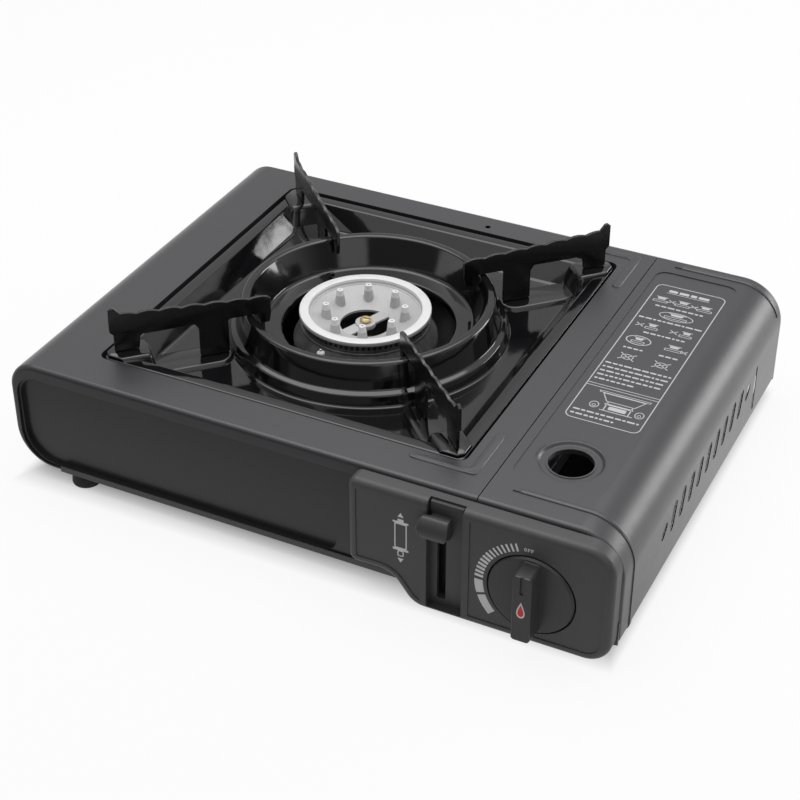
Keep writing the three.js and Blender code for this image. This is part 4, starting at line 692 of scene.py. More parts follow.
def piece(name, mesh, finish, body, slot=None, nodes=(), edge=0.0, sharp=35.0, segments=2):
    """Adds a finished piece to the scene, hangs it on its body's empty and hides the imported pieces that it
    takes the place of.
    """
    mesh.polygons.foreach_set("use_smooth", [True] * len(mesh.polygons))
    mesh.set_sharp_from_angle(angle=math.radians(sharp))
    if edge:
        mesh = eased(mesh, edge, sharp, segments)
    mesh.name = name
    mesh.materials.clear()
    mesh.materials.append(FINISHES[finish])
    made = in_scene(name, mesh)
    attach(made, body)
    if nodes:
        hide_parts(*nodes)
    return made


def packed_form(node):
    """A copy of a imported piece's mesh with its facets merged into whole faces."""
    source = frame["nodes"][node]
    mesh = source.data.copy()
    mesh.transform(source.matrix_world)
    work = bmesh.new()
    work.from_mesh(mesh)
    bmesh.ops.remove_doubles(work, verts=work.verts, dist=2e-6)
    bmesh.ops.dissolve_limit(
        work, angle_limit=math.radians(0.6), verts=work.verts, edges=work.edges,
        use_dissolve_boundaries=False,
    )
    work.to_mesh(mesh)
    work.free()
    return mesh


# A packed corner's facets, the depth of sheet that belongs to it, and the slack in its edges
CORNER_FACETS = 5
CORNER_DEPTH = 4.0
CORNER_SLACK = 1


def round_fillet(mesh, centre_x, centre_z, corner_round, first, last, steps=30):
    """Gives a corner that runs along Y more facets, on its true radius, between two angles in degrees.

    Its faces are first cut along the new edges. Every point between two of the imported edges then
    moves out by as much as a flat facet lies inside the round there.
    """
    work = bmesh.new()
    work.from_mesh(mesh)
    middle = stove_point(centre_x, 0, centre_z)
    middle.y = 0
    facet = (last - first) / CORNER_FACETS

    def turn_of(vertex):
        return math.degrees(math.atan2(vertex.co.z - middle.z, vertex.co.x - middle.x)) % 360

    def in_corner(vertex):
        reach = math.hypot(vertex.co.x - middle.x, vertex.co.z - middle.z) / MM
        on_sheet = corner_round - CORNER_DEPTH < reach < corner_round + CORNER_SLACK
        low, high = first - CORNER_SLACK, last + CORNER_SLACK
        return on_sheet and (low <= turn_of(vertex) <= high or turn_of(vertex) - 360 >= low)

    for k in range(1, steps):
        angle = math.radians(first + (last - first) * k / steps)
        near = [face for face in work.faces if all(in_corner(vertex) for vertex in face.verts)]
        parts = set(near)
        for face in near:
            parts.update(face.edges)
            parts.update(face.verts)
        bmesh.ops.bisect_plane(
            work, geom=list(parts), dist=1e-7, plane_co=middle,
            plane_no=Vector((-math.sin(angle), 0, math.cos(angle))),
        )
    for vertex in work.verts:
        turn = turn_of(vertex)
        if in_corner(vertex) and first < turn < last:
            aside = (turn - first) % facet - facet / 2
            swell = math.cos(math.radians(aside)) / math.cos(math.radians(facet / 2))
            vertex.co.x = middle.x + (vertex.co.x - middle.x) * swell
            vertex.co.z = middle.z + (vertex.co.z - middle.z) * swell
    work.to_mesh(mesh)
    work.free()
    return mesh


# A bead's back is drawn in this many steps, and its foot reaches this deep into the sheet
BEAD_STEPS = 10
BEAD_FOOT = 0.3


def bead_form(path, width, height):
    """A pressed bead with a round back along (x, y, z, normal x, normal z) points in millimetres."""
    rings = []
    count = len(path)
    travelled = [0.0]
    spots = [Vector(point[:3]) for point in path]
    for a, b in zip(spots, spots[1:]):
        travelled.append(travelled[-1] + (b - a).length)
    for k, point in enumerate(path):
        along = (spots[min(k + 1, count - 1)] - spots[max(k - 1, 0)]).normalized()
        normal = Vector((point[3], 0, point[4]))
        aside = along.cross(normal).normalized()
        end = min(travelled[k], travelled[-1] - travelled[k]) / (width / 2)
        size = math.sqrt(max(0.02, 1 - (1 - min(end, 1.0)) ** 2))
        ring = []
        for step in range(BEAD_STEPS + 1):
            turn = math.pi * step / BEAD_STEPS
            across = aside * (width / 2 * size * math.cos(turn))
            ring.append(tuple(spots[k] + across + normal * (height * size * math.sin(turn))))
        for side in (-1, 1):
            ring.append(tuple(spots[k] + aside * (side * width / 2 * size) - normal * BEAD_FOOT))
        rings.append(ring)
    return on_body(lofted(rings))


def flat_path(corners, height, spacing=0.7):
    """Points at one height along a line with rounded corners, close together for a bead."""
    line = [Vector(point) for point in rounded_line(corners, 8)]
    points = []
    for a, b in zip(line, line[1:]):
        steps = max(1, round((b - a).length / spacing))
        points += [a + (b - a) * k / steps for k in range(steps)]
    points.append(line[-1])
    return [(p.x, p.y, height, 0, 1) for p in points]


def softened(node, edge=0.18, sharp=32.0, mesh=None):
    """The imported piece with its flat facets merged, its curves smooth and its edges eased."""
    slot = SLOT_OF_NODE[node]
    form = mesh or packed_form(node)
    return piece(node + "_finish", form, slot, BODY_OF_NODE[node], slot, (node,), edge, sharp)


# What repeats: copies round an arc and copies on spots


def start_tree(name, inputs):
    tree = bpy.data.node_groups.new(name, "GeometryNodeTree")
    inputs = {"Geometry": "Geometry", **inputs, "Form": "Object", "Finish": "Material"}
    for label, kind in inputs.items():
        tree.interface.new_socket(label, in_out="INPUT", socket_type="NodeSocket" + kind)
    tree.interface.new_socket("Geometry", in_out="OUTPUT", socket_type="NodeSocketGeometry")
    return tree, tree.nodes.new("NodeGroupInput").outputs


def end_tree(tree, given, spots, **more):
    """Puts the form on the spots, as plain mesh with its finish."""
    form = add_node(tree, "GeometryNodeObjectInfo", {}, {"Object": given["Form"]}, "Geometry")
    made = add_node(tree, "GeometryNodeInstanceOnPoints", {}, {"Points": spots, "Instance": form, **more})
    made = add_node(tree, "GeometryNodeRealizeInstances", {}, {"Geometry": made})
    made = add_node(tree, "GeometryNodeSetMaterial", {}, {"Geometry": made, "Material": given["Finish"]})
    tree.links.new(made, tree.nodes.new("NodeGroupOutput").inputs["Geometry"])
    return tree


def arc_tree():
    """Copies of a form, evenly spaced along an arc and turned with it."""
    tree, given = start_tree("evenly_round_an_arc", {
        "Count": "Int", "Radius": "Float", "Start": "Float", "Sweep": "Float",
    })

    def maths(operation, *values):
        return add_node(tree, "ShaderNodeMath", {"operation": operation}, dict(enumerate(values)))

    index = add_node(tree, "GeometryNodeInputIndex", {}, {})
    share = maths("DIVIDE", maths("ADD", index, 0.5), given["Count"])
    angle = maths("ADD", maths("MULTIPLY", share, given["Sweep"]), given["Start"])
    across, along = (maths("MULTIPLY", maths(way, angle), given["Radius"]) for way in ("COSINE", "SINE"))
    place = add_node(tree, "ShaderNodeCombineXYZ", {}, {0: across, 1: along})
    turn = add_node(tree, "ShaderNodeCombineXYZ", {}, {2: angle})
    spots = add_node(tree, "GeometryNodePoints", {}, {"Count": given["Count"], "Position": place})
    return end_tree(tree, given, spots, Rotation=turn)


def spots_tree():
    """Copies of a form on the corners of the mesh that the tree is given."""
    tree, given = start_tree("on_each_spot", {})
    return end_tree(tree, given, given["Geometry"])


def repeated(tree, form_mesh, finish, spots=None, **values):
    """A plain mesh of the copies that a tree makes of a form."""
    form = in_scene("form", form_mesh)
    holder = in_scene("holder", spots or bpy.data.meshes.new("no_spots"))
    modifier = holder.modifiers.new("copies", "NODES")
    modifier.node_group = tree
    given = {**values, "Form": form, "Finish": FINISHES[finish]}
    for item in tree.interface.items_tree:
        if item.in_out == "INPUT" and item.name in given:
            modifier[item.identifier] = given[item.name]
    mesh = evaluated_mesh(holder)
    holder.modifiers.remove(modifier)
    bpy.data.objects.remove(holder)
    bpy.data.objects.remove(form)
    bpy.data.meshes.remove(form_mesh)
    if not mesh.polygons:
        raise RuntimeError("a repeated form came out empty")
    return mesh


# The drip pan: one pressing, from the lip round the burner to the turned-down rim

BOWL_LIP = 47.0
LEDGE_END = 57.0
CREST_INNER = 63.9
CREST_OUTER = 68.4
RING_STEP_FOOT = 76.4
PAN_RIM = 70.7
PAN_OUTER = 103.3
PAN_RIM_HALF = 96.3
PAN_FLOOR_HALF = 87.3
PAN_SKIRT_BOTTOM = 66.8
RING_TOP = 80.6
FLOOR_START = 80.0
WALL_START = 3.2
WALL_CORNER = 13.0
FLOOR_CORNER = 12.0
RIM_CORNER = 3.4

# Directions in which the sheet has points, and how far they crowd towards the pads
PAN_ANGLES = 384
PAN_CROWDING = 0.2


def square_reach(angle, half, corner):
    """How far a round-cornered square reaches in a direction from its middle."""
    turn = angle % (math.pi / 2)
    if turn > math.pi / 4:
        turn = math.pi / 2 - turn
    straight = half / math.cos(turn)
    if straight * math.sin(turn) <= half - corner:
        return straight
    centre = half - corner
    along = centre * (math.cos(turn) + math.sin(turn))
    return along + math.sqrt(max(0.0, along * along - 2 * centre * centre + corner * corner))


def pan_rings(sizes):
    """Each ring as a function of the direction, which gives its radius, and its height."""
    floor = PAN_RIM - sizes.floor_depth
    ring_line = rounded_line([
        (BOWL_LIP, floor + 0.5, 0), (BOWL_LIP + 0.2, floor + 4.2, 1.2), (LEDGE_END, floor + 4.7, 2.6),
        (CREST_INNER, RING_TOP, sizes.crest_round), (CREST_OUTER, RING_TOP, sizes.crest_round),
        (72.0, floor + 7.5, 1.6), (75.0, floor + 6.3, 1.5), (RING_STEP_FOOT, floor, 1.6),
        (FLOOR_START, floor, 0),
    ], 7)
    rings = [(lambda angle, r=r: r, z) for r, z in ring_line]
    floor_steps = 8

    def between(angle, share):
        wall = square_reach(angle, PAN_FLOOR_HALF - WALL_START, WALL_CORNER)
        return FLOOR_START + (wall - FLOOR_START) * share

    for k in range(1, floor_steps):
        rings.append((lambda angle, share=k / floor_steps: between(angle, share), floor))
    wall_line = rounded_line([
        (PAN_FLOOR_HALF - WALL_START, floor, 0), (PAN_FLOOR_HALF, floor, sizes.wall_round),
        (PAN_RIM_HALF, PAN_RIM, 2.0), (PAN_OUTER, PAN_RIM, 1.3), (PAN_OUTER, PAN_SKIRT_BOTTOM, 0),
    ], 5)
    for half, z in wall_line:
        share = max(0.0, min(1.0, (half - PAN_FLOOR_HALF) / (PAN_OUTER - PAN_FLOOR_HALF)))
        corner = FLOOR_CORNER + (RIM_CORNER - FLOOR_CORNER) * share
        rings.append((lambda angle, h=half, c=corner: square_reach(angle, h, c), z))
    return rings


def pan_sheet(sizes):
    """The pressed sheet, with a thickness, as a closed form about the pan's middle."""
    rings = pan_rings(sizes)
    angles = []
    for k in range(PAN_ANGLES):
        even = 2 * math.pi * k / PAN_ANGLES
        angles.append(even + PAN_CROWDING * math.sin(4 * even))
    top = [
        [Vector((reach(a) * math.cos(a), reach(a) * math.sin(a), z)) for a in angles] for reach, z in rings
    ]
    under = offset_rings(top, -SHEET)
    loops = top + under[::-1]
    points = [p * MM for loop in loops for p in loop]
    faces = []
    count = PAN_ANGLES
    for r in range(len(loops)):
        nxt = (r + 1) % len(loops)
        for k in range(count):
            j = (k + 1) % count
            faces.append((r * count + k, r * count + j, nxt * count + j, nxt * count + k))
    return outward(mesh_from("pan_sheet", points, faces))


def offset_rings(rings, distance):
    """The same rings moved along the sheet's own normals."""
    moved = []
    for r, ring in enumerate(rings):
        before = rings[max(r - 1, 0)]
        after = rings[min(r + 1, len(rings) - 1)]
        loop = []
        for k, point in enumerate(ring):
            along = after[k] - before[k]
            around = ring[(k + 1) % len(ring)] - ring[k - 1]
            loop.append(point + along.cross(around).normalized() * distance)
        moved.append(loop)
    return moved


PAD_INNER = 122.0
PAD_HALF = 7.5
PAD_TOP = 72.7
PAD_TAPER = 5.0
RIM_CORNER_REACH = 145.0
RAY_START = 85.5
RAY_END = 112.0
RAY_WIDTH = 17.0
RAY_RISE = 2.0


def pad_form(floor):
    """The raised corner that a pot support stands on, along +X from the pan's middle."""
    def ring(grow, outer, height):
        half = PAD_HALF + grow
        corners = [
            (PAD_INNER - grow, -half, 2.2), (outer - half, -half, 1.5), (outer - 2.0, -2.0, 1.5),
            (outer - 2.0, 2.0, 1.5), (outer - half, half, 1.5), (PAD_INNER - grow, half, 2.2),
        ]
        return [(x, y, height) for x, y in rounded_loop(corners, 5)]
    return lofted([
        ring(PAD_TAPER, RIM_CORNER_REACH, floor - 0.4), ring(PAD_TAPER - 0.8, RIM_CORNER_REACH, floor + 0.5),
        ring(1.6, RIM_CORNER_REACH, PAD_TOP - 3.0), ring(0.7, RIM_CORNER_REACH, PAD_TOP - 1.0),
        ring(0.1, RIM_CORNER_REACH - 0.2, PAD_TOP - 0.3), ring(-0.7, RIM_CORNER_REACH - 0.8, PAD_TOP),
    ])


def ray_form(floor):
    """The low raised land between the ring and a pad, along +X."""
    def ring(grow, height):
        loop = capsule_loop(RAY_START, 0, RAY_END, 0, RAY_WIDTH + 2 * grow, 14)
        return [(x, y, height) for x, y in loop]
    return lofted([
        ring(1.6, floor - 0.4), ring(1.2, floor + 0.2), ring(0.4, floor + RAY_RISE - 0.7),
        ring(0.0, floor + RAY_RISE - 0.2), ring(-0.8, floor + RAY_RISE),
    ])


DIAGONALS = [math.pi / 4 + k * math.pi / 2 for k in range(4)]


class STOVE_OT_drip_pan(bpy.types.Operator):
    """Make the enamelled drip pan"""

    bl_idname = "stove.drip_pan"
    bl_label = "Drip pan"

    def execute(self, context):
        sizes = context.scene.stove_pan
        floor = PAN_RIM - sizes.floor_depth
        forms = [pan_sheet(sizes)]
        for turn in DIAGONALS:
            forms += [spun(pad_form(floor), turn), spun(ray_form(floor), turn)]
        x, y, _ = centre_of("drip_pan")
        mesh = shifted(merged("drip_pan_pressing", forms), x, y)
        piece("drip_pan_pressing", mesh, "black_enamel", "pan", nodes=("drip_pan",), sharp=50.0)
        return {"FINISHED"}


# Pot supports: scalloped fins of cut sheet, one on each diagonal

FIN_INNER = 54.5
FIN_OUTER = 141.0
FIN_LEG = 126.0
FIN_MID_INNER = 78.0
FIN_MID_OUTER = 94.0
FIN_UNDER = 80.0
FIN_TOP_INNER = 91.0
FIN_TOP_OUTER = 95.5
FIN_TIP = 99.0
FIN_TIP_WIDTH = 5.0
FIN_FOOT = 73.0
FIN_MID_FOOT = 61.0
HOOK_WIDTH = 5.5
HOOK_DEPTH = 6.0
RING_CLEAR = 80.9


def fin_outline(sizes):
    """A support seen from the side: its hook, legs and foot below, and the scalloped edge above."""
    tip_start = FIN_OUTER - FIN_TIP_WIDTH
    shoulder = FIN_FOOT + 2 * (FIN_TIP - FIN_TOP_OUTER) + FIN_TIP_WIDTH
    under = [
        (FIN_OUTER, FIN_TIP - 1.2, 1.0), (FIN_OUTER, shoulder, 0.6), (FIN_OUTER - 2, shoulder - 2, 0.6),
        (FIN_OUTER - 2, FIN_FOOT, 0.5), (FIN_LEG, FIN_FOOT, 0.5), (FIN_LEG - 1, FIN_UNDER, 0.6),
        (FIN_LEG - 2, FIN_UNDER + 1, 0.6), (FIN_MID_OUTER + 2, FIN_UNDER + 1, 1.0),
        (FIN_MID_OUTER, FIN_UNDER - 2, 1.0), (FIN_MID_OUTER, FIN_MID_FOOT, 0.8),
        (FIN_MID_INNER, FIN_MID_FOOT, 0.8), (FIN_MID_INNER, RING_CLEAR - 1, 0.5),
        (FIN_MID_INNER - 1, RING_CLEAR, 0.5), (FIN_INNER + HOOK_WIDTH, RING_CLEAR, 0.8),
        (FIN_INNER + HOOK_WIDTH, RING_CLEAR - HOOK_DEPTH, 1.2), (FIN_INNER + 1, RING_CLEAR - HOOK_DEPTH, 1.2),
        (FIN_INNER, RING_CLEAR, 0.6), (FIN_INNER, FIN_TOP_INNER - 2, 1.0),
    ]
    loop = rounded_line(under, 3)
    step = sizes.scallop_pitch / 10
    radius = FIN_INNER + step
    while radius < tip_start:
        share = (radius - FIN_INNER) / (tip_start - FIN_INNER)
        wave = abs(math.sin(math.pi * (radius - FIN_INNER) / sizes.scallop_pitch))
        height = FIN_TOP_INNER + (FIN_TOP_OUTER - FIN_TOP_INNER) * share + sizes.scallop_depth * (wave - 1)
        loop.append((radius, height))
        radius += step
    loop += [(FIN_OUTER - 0.7 * FIN_TIP_WIDTH, FIN_TIP - 0.4), (FIN_OUTER - 0.55 * FIN_TIP_WIDTH, FIN_TIP),
             (FIN_OUTER - 0.3 * FIN_TIP_WIDTH, FIN_TIP)]
    return loop


class STOVE_OT_pot_supports(bpy.types.Operator):
    """Make the four pot supports"""

    bl_idname = "stove.pot_supports"
    bl_label = "Pot supports"

    def execute(self, context):
        sizes = context.scene.stove_supports
        half = sizes.thickness / 2
        fin = facing_front(sheet_form([fin_outline(sizes)], -half, half, 0.35, 2))
        x, y, _ = centre_of("drip_pan")
        copies = repeated(
            arc_tree(), fin, "support_enamel", Count=4, Radius=0.0, Start=0.0, Sweep=2 * math.pi,
        )
        nodes = [f"pot_support_{place}" for place in CORNERS]
        fins = shifted(outward(copies), x, y)
        piece("pot_support_fins", fins, "support_enamel", "pan", nodes=nodes, sharp=30.0)
        return {"FINISHED"}


# Burner: head with pegs, ring of ports, bowl, screw and spark electrode

HEAD_TOP = 72.0
HEAD_RADIUS = 35.9
HEAD_UNDER = 69.5
DISH_RIM = 30.9
DISH_FLOOR = 62.4
WINDOW_RADIUS = 14.0
BAR_WIDTH = 7.0
BAR_TURN = 68.5
BOSS_RADIUS = 5.6
PEG_CIRCLE = 21.5
PEG_TOP = 74.0
PORT_OUTER = 34.6
PORT_INNER = 30.0
PORT_LOW = 65.2
PORT_FLOOR = 66.1
PORT_TOP = 69.2

# The bowl from its foot up to its rim, and back down its inside, as (radius, height, rounding)
BOWL_OUTSIDE = [
    (0, 34, 0), (18, 34, 3), (35.5, 43.5, 6), (39.5, 50.2, 3), (39.5, 55.4, 3), (35.6, 63.4, 1.2),
    (35.6, 64.9, 0.4), (30.9, 64.9, 0),
]
BOWL_INSIDE = [
    (30.9, 63.6, 0), (34.1, 63.4, 0.6), (38.0, 55.0, 2.4), (38.0, 50.6, 2.4), (34.5, 44.7, 5),
    (17.6, 35.5, 3), (0, 35.5, 0),
]


def head_casting():
    """The head's ring with its sloped dish, the bar across its window and the boss for the screw."""
    ring = lathed([
        (WINDOW_RADIUS, DISH_FLOOR - 1.5, 0), (WINDOW_RADIUS + 1, DISH_FLOOR - 1.5, 0.3),
        (DISH_RIM - 1.5, 68.1, 0.3), (DISH_RIM - 1.5, HEAD_UNDER, 0.2), (HEAD_RADIUS, HEAD_UNDER, 0.3),
        (HEAD_RADIUS, HEAD_TOP, 0.5), (DISH_RIM, HEAD_TOP, 0.35), (DISH_RIM - 0.5, 69.6, 0.6),
        (WINDOW_RADIUS + 0.5, DISH_FLOOR, 0.3), (WINDOW_RADIUS, DISH_FLOOR - 0.2, 0),
    ], 4, 160)
    reach = WINDOW_RADIUS + 0.6
    bar = sheet_form(
        [box_loop(-reach, reach, -BAR_WIDTH / 2, BAR_WIDTH / 2, 0.5, 2)], DISH_FLOOR - 1.5, DISH_FLOOR, 0.25,
    )
    boss = lathed([
        (2.3, DISH_FLOOR - 1.6, 0), (BOSS_RADIUS, DISH_FLOOR - 1.6, 0.2), (BOSS_RADIUS, DISH_FLOOR + 1, 0.4),
        (2.3, DISH_FLOOR + 1, 0),
    ], 4, 64)
    return [ring, spun(bar, math.radians(BAR_TURN)), boss]


def peg_form():
    """One tapered peg with a small hollow in its top."""
    return lathed([
        (0, 61.9, 0), (3.2, 61.9, 0), (3.1, 64.2, 0.4), (1.85, PEG_TOP, 0.35), (0.75, PEG_TOP, 0.15),
        (0.55, PEG_TOP - 1.4, 0.1), (0, PEG_TOP - 1.4, 0),
    ], 4, 24)


class STOVE_OT_burner(bpy.types.Operator):
    """Make the burner's visible pieces"""

    bl_idname = "stove.burner"
    bl_label = "Burner"

    def execute(self, context):
        sizes = context.scene.stove_burner
        arc = arc_tree()
        self.make_head(arc, sizes.peg_count)
        self.make_ports(arc, sizes.port_count)
        self.make_bowl()
        self.make_electrode()
        softened("burner_screw", edge=0.25)
        softened("electrode_clip", edge=0.15)
        return {"FINISHED"}

    def place(self, name, mesh, *looks):
        x, y, _ = centre_of("burner_head")
        piece(name, shifted(mesh, x, y), *looks)

    def make_head(self, arc, count):
        pegs = repeated(
            arc, peg_form(), "cast_aluminium", Count=count, Radius=PEG_CIRCLE * MM, Start=0.0,
            Sweep=2 * math.pi,
        )
        head = merged("burner_head_casting", head_casting() + [pegs])
        self.place("burner_head_casting", head, "cast_aluminium", "housing", None, ("burner_head",))

    def make_ports(self, arc, count):
        pitch = 2 * math.pi * PORT_OUTER / count
        tooth = lofted([
            [(PORT_INNER, -pitch * 0.24, z), (PORT_OUTER, -pitch * 0.28, z), (PORT_OUTER, pitch * 0.28, z),
             (PORT_INNER, pitch * 0.24, z)] for z in (PORT_FLOOR - 0.3, PORT_TOP)
        ])
        teeth = repeated(arc, tooth, "black_iron", Count=count, Radius=0.0, Start=0.0, Sweep=2 * math.pi)
        base = lathed([
            (PORT_INNER, PORT_LOW, 0), (PORT_OUTER + 0.1, PORT_LOW, 0.2), (PORT_OUTER + 0.1, PORT_FLOOR, 0.2),
            (PORT_INNER, PORT_FLOOR, 0),
        ], 3, 144)
        ports = merged("port_ring_teeth", [base, teeth])
        self.place("port_ring_teeth", ports, "port_steel", "housing", "black_iron", ("burner_port_ring",))

    def make_bowl(self):
        bowl = turned(rounded_line(BOWL_OUTSIDE, 5) + rounded_line(BOWL_INSIDE, 5), 128)
        boss = lathed([(2.3, 35.0, 0), (5.5, 35.0, 0.5), (4.5, 52, 0.4), (2.3, 52, 0)], 3, 48)
        both = merged("bowl", [bowl, boss])
        self.place("burner_bowl_casting", both, "black_iron", "housing", None, ("burner_bowl",))

    def make_electrode(self):
        x, y, _ = centre_of("spark_electrode")
        # The rod from its terminal in the clip up past the clip's groove to its tip
        rod = lathed([
            (0, 42, 0), (2, 42, 0.2), (2, 47.5, 0), (1.7, 48, 0), (1.7, 48.8, 0), (2, 49.3, 0),
            (2.2, 66.9, 1.1), (0.95, 68.0, 0.3), (0, 68.0, 0),
        ], 4, 32)
        wire = lathed([(0, 67.6, 0), (0.8, 67.6, 0), (0.8, 69.0, 0.5), (0, 69.0, 0)], 4, 20)
        piece("electrode_rod", shifted(rod, x, y), "white_ceramic", "housing", nodes=("spark_electrode",))
        piece("electrode_wire", shifted(wire, x, y), "plain_steel", "housing")


# Body: cover, lid, plates, rivets and feet

LEFT_TOP_ROUND = 16.0
LEFT_BOTTOM_ROUND = 22.0
RIGHT_TOP_ROUND = 24.0
HALF_WIDTH = 171.0
FOOT_HEIGHT = 8.0
BEAD_WIDTH = 5.0
BEAD_RISE = 0.9
BAND_WIDTH = 3.4
BAND_RISE = 0.9
BAND_SINK = 0.45
BAND_START = 112.0

# The angled beads beside the pan, each as (x, y, rounding) along its middle
COVER_BEADS = (
    [(69, 117, 0), (86.5, 117, 5), (86.5, 84, 0)],
    [(86.5, -75, 0), (86.5, -108, 5), (55, -108, 0)],
)


def cover_form():
    """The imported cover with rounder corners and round-backed beads."""
    cover = packed_form("body_cover")
    cover = round_fillet(
        cover, -HALF_WIDTH + LEFT_TOP_ROUND, BODY_TOP - LEFT_TOP_ROUND, LEFT_TOP_ROUND, 90, 180,
    )
    cover = round_fillet(
        cover, -HALF_WIDTH + LEFT_BOTTOM_ROUND, FOOT_HEIGHT + LEFT_BOTTOM_ROUND, LEFT_BOTTOM_ROUND,
        180, 270,
    )
    beads = [bead_form(flat_path(corners, BODY_TOP), BEAD_WIDTH, BEAD_RISE) for corners in COVER_BEADS]
    return merged("cover", [cover] + beads)


def band_path(start, foot):
    """The way of a bead over the lid's top, round its corner and down its side, where it lies lower.

    Each point has its x, its z and the sheet's own direction there.
    """
    middle_x = HALF_WIDTH - RIGHT_TOP_ROUND
    middle_z = BODY_TOP - RIGHT_TOP_ROUND
    path = [(x, BODY_TOP, 0, 1) for x in even_steps(start, middle_x, 0.8)]
    for k in range(25):
        turn = math.pi / 2 * (1 - k / 24)
        c, s = math.cos(turn), math.sin(turn)
        if middle_z + RIGHT_TOP_ROUND * s >= foot:
            path.append((middle_x + RIGHT_TOP_ROUND * c, middle_z + RIGHT_TOP_ROUND * s, c, s))
    if foot < middle_z:
        path += [(HALF_WIDTH, z, 1, 0) for z in even_steps(middle_z, foot, 0.8)[1:]]
    return [(x - BAND_SINK * nx, z, nx, nz) for x, z, nx, nz in path]


def even_steps(start, end, spacing):
    count = max(1, round(abs(end - start) / spacing))
    return [start + (end - start) * k / count for k in range(count)]


WINDOW_X = 124.85
WINDOW_Y = -78.5
WINDOW_HOLE = 11.4
WINDOW_DISH = 16.4
SIDE_SLOT_FIRST = 53.1
SIDE_SLOT_PITCH = 13.4
SIDE_SLOT_COUNT = 9
SIDE_SLOT_LEAN = 3.0
SIDE_SLOT_HEIGHTS = (28.6, 44.9)
SIDE_SLOT_WIDTH = 6.2
END_SLOT_HEIGHTS = (32.0, 40.6)
END_SLOT_WIDTH = 5.4
SIDE_SLIT_Y = 81.5
SIDE_SLIT_HEIGHTS = (16.0, 44.0)
SIDE_SLIT_WIDTH = 2.4
LABEL_SINK = 0.45
DISH_DEPTH = 1.5

# Each band across the lid: its place from front to rear, and the height at which it ends
LID_BANDS = ((-111.5, 14.0), (118.5, 62.0))

LABEL_LEFT = 106.5
LABEL_REAR = 97.7
LABEL_WIDTH = 39.5
LABEL_LENGTH = 141.7
LABEL_DIVIDER = 108.0
LABEL_LINE = 0.5


def side_slot(y, heights, width, lean):
    """A slot of the lid's side that opens towards the inside, so that the pressed edge looks thin."""
    low, high = heights
    rings = []
    for depth, grow in ((0.6, 0.0), (-0.15, 0.0), (-0.35, 4.6), (-1.6, 4.6)):
        loop = capsule_loop(
            y - lean / 2, low + width / 2, y + lean / 2, high - width / 2, width + grow, 8,
        )
        rings.append([(HALF_WIDTH + depth, py, pz) for py, pz in loop])
    return lofted(rings)


def lid_form():
    """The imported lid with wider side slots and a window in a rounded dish."""
    slots = [(k, SIDE_SLOT_HEIGHTS, SIDE_SLOT_WIDTH) for k in range(SIDE_SLOT_COUNT)]
    slots += [(k, END_SLOT_HEIGHTS, END_SLOT_WIDTH) for k in (-1, SIDE_SLOT_COUNT)]
    cutters = [
        side_slot(SIDE_SLOT_FIRST - k * SIDE_SLOT_PITCH, heights, width, SIDE_SLOT_LEAN)
        for k, heights, width in slots
    ]
    cutters.append(side_slot(SIDE_SLIT_Y, SIDE_SLIT_HEIGHTS, SIDE_SLIT_WIDTH, 0.0))
    cutters = [on_body(form) for form in cutters]
    opening = sheet_form([circle_loop(0, 0, WINDOW_DISH + 0.9, 96)], BODY_TOP - 1.6, BODY_TOP + 2)
    cutters.append(on_body(opening, WINDOW_X, WINDOW_Y))
    lid = combined(packed_form("cartridge_lid"), merged("lid_cuts", cutters), "DIFFERENCE")
    lid = round_fillet(
        lid, HALF_WIDTH - RIGHT_TOP_ROUND, BODY_TOP - RIGHT_TOP_ROUND, RIGHT_TOP_ROUND, 0, 90,
    )
    field = BODY_TOP - LABEL_SINK
    low = field - DISH_DEPTH
    # The dish from the label field down to the hole, round the hole's edge and back below
    rim = lathed([
        (WINDOW_DISH + 1.2, field, 0), (WINDOW_DISH, field, 0.8), (WINDOW_DISH - 1.4, low, 0.9),
        (WINDOW_HOLE + 0.6, low, 0.5), (WINDOW_HOLE, low - 0.6, 0.3), (WINDOW_HOLE, low - 2.4, 0),
        (WINDOW_HOLE + 0.5, low - 2.4, 0), (WINDOW_HOLE + 0.5, low - 1.0, 0.2), (WINDOW_DISH, low - 1.0, 0.4),
        (WINDOW_DISH + 1.2, field - 0.9, 0),
    ], 5, 96)
    rim = on_body(rim, WINDOW_X, WINDOW_Y)
    bands = []
    for y, foot in LID_BANDS:
        path = [(x, y, z, nx, nz) for x, z, nx, nz in band_path(BAND_START, foot)]
        bands.append(bead_form(path, BAND_WIDTH, BAND_RISE))
    return merged("lid", [lid, rim] + bands)


